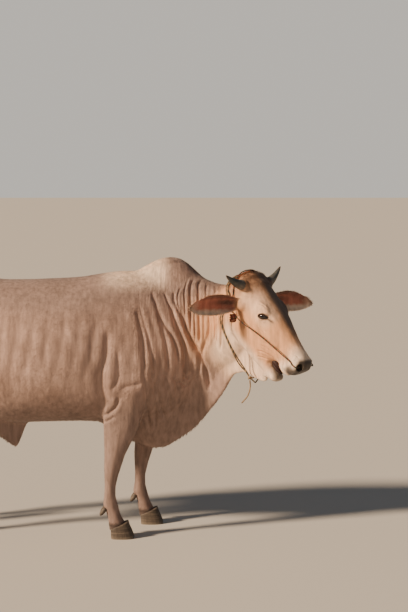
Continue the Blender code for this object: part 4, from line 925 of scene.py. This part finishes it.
grain = node(tree, "TexNoise", {"Vector": spot, "Scale": 420, "Detail": 3}).outputs["Fac"]
tree.links.new(over(tree, (0.010, 0.005, 0.005), (0.045, 0.020, 0.017), grain), shader.inputs["Base Color"])
bumped(tree, shader, grain, 0.5, 0.0008)
mouth.data.materials.append(tongue_and_mouth_shade)
worn(mouth, "dark_eye")


# Horns: short cones of grey horn grown from the sides of the poll, ringed at the root where
# each year's growth shows, smooth and darker to the blunt brownish tip.
horns = copied("horns", "horn_right", "horn_left")
regrained(horns, 0.0017, 5)
spots, out = places_of(horns), facings_of(horns)
along = np.zeros(len(spots))
for side, name in ((-1, "horn_right"), (1, "horn_left")):
    root = np.array(off_face(0.026, side * 0.088, -0.032))
    low, high = (np.array(v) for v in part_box(name))
    mine = ((spots > low - 0.01) & (spots < high + 0.01)).all(1)
    reach = np.linalg.norm(spots - root, axis=1)
    along[mine] = reach[mine] / reach[mine].max()
rings = np.sin(along * 68 + 2.2 * np.sin(along * 19)) * ramp(along, 0.75, 0.25)
pits = np.sin(spots[:, 0] * 900) * np.sin(spots[:, 1] * 700 + 1) * np.sin(spots[:, 2] * 800 + 2)
rough = 0.00050 * rings + 0.00018 * pits * ramp(along, 0.8, 0.4) - 0.0002
put_places(horns, spots + out * rough[:, None])
horns.data.shade_smooth()
keep(horns, "along", along)
grey_horn, tree, shader, spot = shaded("grey_horn", 0.5, 0.45)
fine = node(tree, "TexNoise", {"Vector": spot, "Scale": 160, "Detail": 5}).outputs["Fac"]
broad = node(tree, "TexNoise", {"Vector": spot, "Scale": 34}).outputs["Fac"]
grown = kept(tree, "along")
shade = over(tree, (0.145, 0.125, 0.105), (0.048, 0.056, 0.054), between(tree, grown, 0.15, 0.55))
shade = over(tree, shade, (0.070, 0.042, 0.028), between(tree, grown, 0.72, 1.0))
shade = over(tree, shade, (0.230, 0.200, 0.165), between(tree, broad, 0.52, 0.75, 0.0, 0.45))
shade = over(tree, shade, (0.025, 0.022, 0.020), between(tree, fine, 0.50, 0.80, 0.0, 0.6))
tree.links.new(shade, shader.inputs["Base Color"])
tree.links.new(between(tree, fine, 0.3, 0.7, 0.38, 0.62), shader.inputs["Roughness"])
bumped(tree, shader, fine, 0.5, 0.0006)
horns.data.materials.append(grey_horn)
worn(horns, "slate_horn", "horn_right", "horn_left")


# Feet: two claws of dark horn to a foot and two small dewclaws behind the fetlock. The horn
# grows down in rings from the coronet and is worn flat where the bull stands on it.
CLAWS, DEWCLAWS = [], []
for kind in ("fore", "hind"):
    for hand in ("right", "left"):
        for which in ("inner", "outer"):
            CLAWS.append("claw_" + kind + "_" + hand + "_" + which)
            DEWCLAWS.append("dewclaw_" + kind + "_" + hand + "_" + which)
hooves = copied("hooves", *CLAWS)
regrained(hooves, 0.0026, 4)
spots, out = places_of(hooves), facings_of(hooves)
wall = np.sqrt(np.clip(1 - out[:, 2] ** 2, 0, 1)) * ramp(spots[:, 2], 0.003, 0.012)
rings = np.sin(spots[:, 2] * 720 + 1.4 * np.sin(spots[:, 0] * 40))
rings += 0.5 * np.sin(spots[:, 2] * 1500 + spots[:, 1] * 60)
spots += out * (0.00022 * rings * wall)[:, None]
spots[:, 2] = np.maximum(spots[:, 2] - 0.0035 * ramp(spots[:, 2], 0.020, 0.0), 0.0)
put_places(hooves, spots)
dewclaws = copied("dewclaws", *DEWCLAWS)
regrained(dewclaws, 0.0020, 4)
hoof_horn, tree, shader, spot = shaded("hoof_horn", 0.6, 0.40)
tubes = node(tree, "Mapping", {"Vector": spot, "Scale": (420, 420, 26)}).outputs["Vector"]
fine = node(tree, "TexNoise", {"Vector": tubes, "Scale": 1, "Detail": 3}).outputs["Fac"]
bands = node(tree, "Mapping", {"Vector": spot, "Scale": (9, 9, 190)}).outputs["Vector"]
band = node(tree, "TexNoise", {"Vector": bands, "Scale": 1}).outputs["Fac"]
height = node(tree, "SeparateXYZ", {"Vector": spot}).outputs["Z"]
shade = over(tree, (0.060, 0.046, 0.036), (0.135, 0.105, 0.078), between(tree, band, 0.35, 0.70))
shade = over(tree, shade, (0.030, 0.024, 0.020), between(tree, fine, 0.45, 0.75, 0.0, 0.6))
shade = over(tree, shade, (0.240, 0.200, 0.150), between(tree, height, 0.014, 0.0, 0.0, 0.55))
tree.links.new(shade, shader.inputs["Base Color"])
tree.links.new(between(tree, fine, 0.3, 0.7, 0.50, 0.72), shader.inputs["Roughness"])
bumped(tree, shader, fine, 0.5, 0.0005)
for piece, sources in ((hooves, CLAWS), (dewclaws, DEWCLAWS)):
    piece.data.shade_smooth()
    piece.data.materials.append(hoof_horn)
    worn(piece, "dark_hoof", *sources)


# The coat: short fine hair that lies flat from the nose back and down, in thin overlapping
# tufts rooted in the skin. It is shortest on the face and feet, curly and longer on the poll,
# and fringes the ears, the dewlap's edge, the hump's crest, the sheath and the fetlocks.
FEW = 1.0
BAKE_PATCH = 0.0030


def lie_of(spots, facing):
    """The way the hair lies at each place: back and down along the body, down the legs and face."""
    face = on_face(spots)
    x, z = spots[:, 0] - WITHERS.x, spots[:, 2]
    way = np.column_stack([-np.ones(len(spots)), np.zeros(len(spots)), -0.35 - 0.9 * ramp(z, 1.05, 0.75)])
    crown = ramp(face[:, 0], 0.14, 0.05)[:, None]
    apart = np.sign(face[:, 1:2]) * ramp(np.abs(face[:, 1:2]), 0.0, 0.05)
    up_face = (FACE[0] * -0.9 - FACE[2] * 0.5 + apart * 0.5 * FACE[1]) * (1 - crown)
    up_face += (FACE[0] * 0.9 + apart * 0.6 * FACE[1]) * crown
    parts = [(ramp(z, 0.66, 0.48), np.array((-0.12, 0, -1.0))),
             (ramp(x, -0.20, 0.0), np.array((-0.22, 0.0, -0.97))),
             (ramp(head_reach(spots), 0.40, 0.32), up_face)]
    for side in (-1, 1):
        (root, along), (out, ear) = EAR_SIDES[side], on_ear(side, spots)
        parts.append((ear, along + 14 * (spots - root - out[:, None] * along)))
    for share, lie in parts:
        way = way * (1 - share)[:, None] + lie * share[:, None]
    way -= facing * (way * facing).sum(1)[:, None]
    return way / np.maximum(np.linalg.norm(way, axis=1), 1e-6)[:, None]


def growth(spots, facing):
    """Length, width, lift and crowding of the hair at each place."""
    face = on_face(spots)
    x, z = spots[:, 0] - WITHERS.x, spots[:, 2]
    u, v, w = face.T
    head = ramp(head_reach(spots), 0.40, 0.32)
    foot = ramp(z, 0.42, 0.18)
    crown = head * ramp(u, 0.150, 0.030) * ramp(w, -0.15, -0.07) * ramp(np.abs(v), 0.105, 0.085)
    crest = ramp(facing[:, 2], 0.45, 0.85) * ramp(z, 1.14, 1.20) * (1 - head) * ramp(x, -0.30, -0.20)
    keel = ramp(-facing[:, 2], 0.2, 0.7) * ramp(z, 0.42, 0.46) * (1 - head)
    fringe = ramp(z, 0.125, 0.100)
    neck = ramp(x, -0.20, -0.05) * ramp(z, 0.60, 0.75) * (1 - head)
    long = 0.0140 - 0.0070 * head - 0.0050 * foot - 0.0040 * neck
    long += 0.008 * crown + 0.006 * crest + 0.006 * keel + 0.006 * fringe
    ears = sum(on_ear(side, spots)[1] for side in (-1, 1))
    wide = 0.0020 - 0.0008 * head - 0.0005 * foot - 0.0004 * ears
    lift = 0.02 + 0.28 * crown + 0.08 * crest + 0.10 * keel
    crowd = 1.0 + 2.0 * head + 0.8 * foot + 5.0 * crown + 1.0 * crest + 8.0 * fringe
    bare = ((tints(spots, facing)[:, 3] > 0.4) & (z > 0.2)) | (z < 0.070)
    for side in (-1, 1):
        gap, near, _, _ = on_lid(side, spots)
        bare |= near & (gap < 1.35)
        bare |= np.linalg.norm(face - (0.520, side * 0.039, -0.074), axis=1) < 0.024
    return long, wide, lift, np.where(bare, 0, crowd)


# A small copy of the skin is unwrapped, and each tuft finds the place of its root on it
atlas = hide.copy()
atlas.data = hide.data.copy()
scene.collection.objects.link(atlas)
thin = atlas.modifiers.new("thin", "DECIMATE")
thin.use_collapse_triangulate = True
thin.ratio = 0.11
settle(atlas)
for other in bpy.context.selected_objects:
    other.select_set(False)
atlas.select_set(True)
bpy.context.view_layer.objects.active = atlas
bpy.ops.object.mode_set(mode="EDIT")
bpy.ops.mesh.select_all(action="SELECT")
bpy.ops.uv.smart_project(angle_limit=math.radians(66), island_margin=0.002)
bpy.ops.object.mode_set(mode="OBJECT")
atlas_uv = np.empty(len(atlas.data.loops) * 2, np.float32)
atlas.data.uv_layers.active.data.foreach_get("uv", atlas_uv)
atlas_uv = atlas_uv.reshape(-1, 3, 2)
atlas_points = places_of(atlas)
atlas_faces = np.empty(len(atlas.data.polygons) * 3, np.int32)
atlas.data.polygons.foreach_get("vertices", atlas_faces)
atlas_corners = atlas_points[atlas_faces.reshape(-1, 3)]
atlas_tree = BVHTree.FromObject(atlas, bpy.context.evaluated_depsgraph_get())
bpy.data.objects.remove(atlas)


def atlas_place(spots):
    """Where each place lies on the skin's unwrap."""
    found = [atlas_tree.find_nearest(spot) for spot in spots.tolist()]
    hits = np.array([tuple(hit) for hit, _, _, _ in found])
    index = np.array([face for _, _, face, _ in found])
    a, b, c = (atlas_corners[index, k] for k in range(3))
    cross = np.cross(b - a, c - a)
    area = np.maximum((cross**2).sum(1), 1e-16)
    second = (np.cross(hits - a, c - a) * cross).sum(1) / area
    third = (np.cross(b - a, hits - a) * cross).sum(1) / area
    share = np.clip(np.column_stack([1 - second - third, second, third]), 0, 1)
    return (atlas_uv[index] * share[:, :, None]).sum(1) / share.sum(1)[:, None]


def lock_model(rows, round_lock):
    """One lock of hair to copy: a flat blade, or a three-sided one, in rows along y from 0 to 1."""
    bm = bmesh.new()
    if round_lock:
        bmesh.ops.create_cone(bm, segments=3, radius1=1, radius2=1, depth=1, cap_ends=False)
        for v in bm.verts:
            v.co = (v.co.x, v.co.z + 0.5, -v.co.y)
    else:
        bmesh.ops.create_grid(bm, x_segments=1, y_segments=1, size=1)
        for v in bm.verts:
            v.co = (v.co.x, v.co.y / 2 + 0.5, 0)
    for k in range(1, rows):
        geometry = bm.verts[:] + bm.edges[:] + bm.faces[:]
        bmesh.ops.bisect_plane(bm, geom=geometry, plane_co=(0, k / rows, 0), plane_no=(0, 1, 0))
    bmesh.ops.triangulate(bm, faces=bm.faces)
    ends = [v for v in bm.verts if v.co.y > 0.999]
    bmesh.ops.pointmerge(bm, verts=ends, merge_co=(0, 1, 0))
    bmesh.ops.recalc_face_normals(bm, faces=bm.faces)
    bm.verts.index_update()
    points = np.array([tuple(v.co) for v in bm.verts])
    faces = np.array([[v.index for v in f.verts] for f in bm.faces])
    bm.free()
    return points, faces


def locks(name, model, spine, across, width, home, material, slot, *replaced):
    """Copies of a lock, each laid along its own spine, with a small patch of OFBake at its home."""
    points, faces = model
    count, rows = spine.shape[:2]
    row = np.rint(points[:, 1] * (rows - 1)).astype(int)
    ahead = np.gradient(spine, axis=1)
    upward = np.cross(across[:, None], ahead)
    upward /= np.maximum(np.linalg.norm(upward, axis=2), 1e-9)[:, :, None]
    shift = across[:, None] * points[None, :, 0:1] + upward[:, row] * points[None, :, 2:3]
    spots = spine[:, row] + shift * width[:, row, None]
    mesh = bpy.data.meshes.new(name)
    corners = (np.arange(count)[:, None] * len(points) + faces.ravel()[None]).ravel()
    mesh.vertices.add(count * len(points))
    mesh.vertices.foreach_set("co", spots.reshape(-1).astype(np.float32))
    mesh.loops.add(len(corners))
    mesh.loops.foreach_set("vertex_index", corners.astype(np.int32))
    mesh.polygons.add(count * len(faces))
    mesh.polygons.foreach_set("loop_start", np.arange(0, len(corners), 3).astype(np.int32))
    mesh.update(calc_edges=True)
    mesh.shade_smooth()
    flat = (points[:, :2] * (0.5, 1.0) + (0, -0.5))[faces.ravel()] * BAKE_PATCH
    bake = mesh.uv_layers.new(name="OFBake")
    bake.data.foreach_set("uv", (home[:, None] + flat[None]).reshape(-1).astype(np.float32))
    mesh.materials.append(material)
    piece = bpy.data.objects.new(name, mesh)
    scene.collection.objects.link(piece)
    worn(piece, slot, *replaced)
    return piece


face_corners = np.empty(len(hide.data.polygons) * 3, np.int32)
hide.data.polygons.foreach_get("vertices", face_corners)
face_corners = face_corners.reshape(-1, 3)
corner_places = place[face_corners]
sides = corner_places[:, 1] - corner_places[:, 0], corner_places[:, 2] - corner_places[:, 0]
face_area = np.linalg.norm(np.cross(*sides), axis=1) / 2
face_middle = corner_places.mean(1)
face_facing = facing[face_corners].mean(1)
face_facing /= np.maximum(np.linalg.norm(face_facing, axis=1), 1e-9)[:, None]
hair_long, hair_wide, hair_lift, hair_crowd = growth(face_middle, face_facing)
tuft_coat = coat_material("coat_tufts", 1.05, 0.0)
blade = lock_model(2, False)


def tufts(name, count, seed, crowd, grow=1.0, stand=0.0, curl=0.0, pale=0.0):
    """Scatters tapered tufts over the skin, each rooted just under it and bent along the coat."""
    rng = np.random.default_rng(seed)
    weight = face_area * crowd
    pick = rng.choice(len(weight), count, p=weight / weight.sum())
    r1, r2 = np.sqrt(rng.random(count)), rng.random(count)
    share = np.column_stack([1 - r1, r1 * (1 - r2), r1 * r2])[:, :, None]
    root = (corner_places[pick] * share).sum(1)
    out = (facing[face_corners[pick]] * share).sum(1)
    out /= np.linalg.norm(out, axis=1)[:, None]
    way = lie_of(root, out)
    turn = rng.normal(0, 0.20 + 0.5 * curl, count)[:, None]
    way = way * np.cos(turn) + np.cross(out, way) * np.sin(turn)
    across = np.cross(way, out)
    size = grow * rng.uniform(0.75, 1.25, count)
    length = (hair_long[pick] * size)[:, None]
    rise = (hair_lift[pick] + stand + rng.normal(0, 0.03, count))[:, None]
    bend = rng.normal(0, 0.12 + curl, count)[:, None]
    base = root - out * 0.0008
    middle = base + way * length * 0.5 + out * (length * 0.5 * rise + 0.0012) + across * length * bend * 0.3
    tip = base + way * length + out * (length * rise + 0.0010) + across * length * bend
    wide = (hair_wide[pick] * np.sqrt(size))[:, None] * np.array((0.5, 0.42, 0.0))
    piece = locks(name, blade, np.stack([base, middle, tip], axis=1), across, wide, atlas_place(root),
                  tuft_coat, "cream_coat")
    colours = tints(root, out) * (1 - pale) + np.array((0, 0, pale, 0, 0))
    tint(piece, np.repeat(colours, len(blade[0]), axis=0))
    piece.data.normals_split_custom_set_from_vertices(np.repeat(out, len(blade[0]), axis=0))


for k in range(4):
    tufts("coat_" + "abcd"[k], int(50000 * FEW), 100 + k, hair_crowd)
ear_rim, ear_cup = np.zeros(len(face_middle)), np.zeros(len(face_middle))
for side in (-1, 1):
    out, ear = on_ear(side, face_middle)
    cup = face_facing @ CUP_WAY
    aside = np.abs((face_middle - EAR_SIDES[side][0]) @ np.cross(EAR_SIDES[side][1], CUP_WAY))
    ear_rim += ear * np.maximum(ramp(aside, 0.028, 0.042), ramp(out, 0.190, 0.225)) * ramp(cup, -0.9, -0.3)
    ear_cup += ear * ramp(cup, 0.1, 0.5) * ramp(out, 0.10, 0.04)
tufts("ear_fringe", int(9000 * FEW), 7, ear_rim, grow=1.6, stand=0.10, curl=0.05, pale=0.35)
tufts("ear_down", int(500 * FEW), 8, ear_cup, grow=1.8, stand=0.12, curl=0.1, pale=0.3)


# The tail's switch: a brush of long coarse dark hair that grows round the end of the dock and
# hangs to below the hocks, its locks tapering and lying over one another.
low, high = (Vector(v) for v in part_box("tail_switch"))
middle, tall = (low + high) / 2, high.z - low.z
half_x, half_y = (high.x - low.x) / 2, (high.y - low.y) / 2
rng = np.random.default_rng(23)
count = int(900 * max(FEW, 0.4))
t = np.linspace(0, 1, 10)
angle = rng.uniform(0, 2 * math.pi, count)
depth = np.sqrt(rng.uniform(0.10, 1.0, count))[:, None]
start = rng.uniform(0.0, 0.66, count) ** 1.3
end = np.clip(start + rng.uniform(0.30, 0.60, count), 0, rng.uniform(0.80, 1.0, count))
drop = start[:, None] + (end - start)[:, None] * t
girth = np.interp(drop, (0, 0.06, 0.25, 0.5, 0.75, 0.92, 1.0), (0.16, 0.34, 0.70, 0.90, 0.76, 0.42, 0.10))
girth = girth * (1 + 0.14 * np.sin(9 * drop + angle[:, None] * 5))
swing = angle[:, None] + 0.35 * np.sin(5 * drop + angle[:, None] * 3)
spine = np.stack([middle.x + np.cos(swing) * depth * girth * half_x,
                  middle.y + np.sin(swing) * depth * girth * half_y,
                  high.z + 0.030 - drop * (tall + 0.028)], axis=2)
across = np.column_stack([-np.sin(angle), np.cos(angle), np.zeros(count)])
width = np.tile(0.0024 * np.interp(t, (0, 0.3, 0.7, 1.0), (0.3, 1.0, 0.8, 0.0)), (count, 1))
home = np.column_stack([0.02 + 0.96 * angle / (2 * math.pi), 0.02 + 0.96 * start])
brush_hair, tree, shader, spot = shaded("switch_hair", 0.55, 0.35)
tone = over(tree, (0.022, 0.016, 0.013), (0.085, 0.058, 0.042), kept(tree, "tone"))
tree.links.new(tone, shader.inputs["Base Color"])
strand = lock_model(9, True)
switch = locks("tail_brush", strand, spine, across, width, home, brush_hair, "dark_hair", "tail_switch")
keep(switch, "tone", np.repeat(rng.random(count), len(strand[0])))

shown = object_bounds()
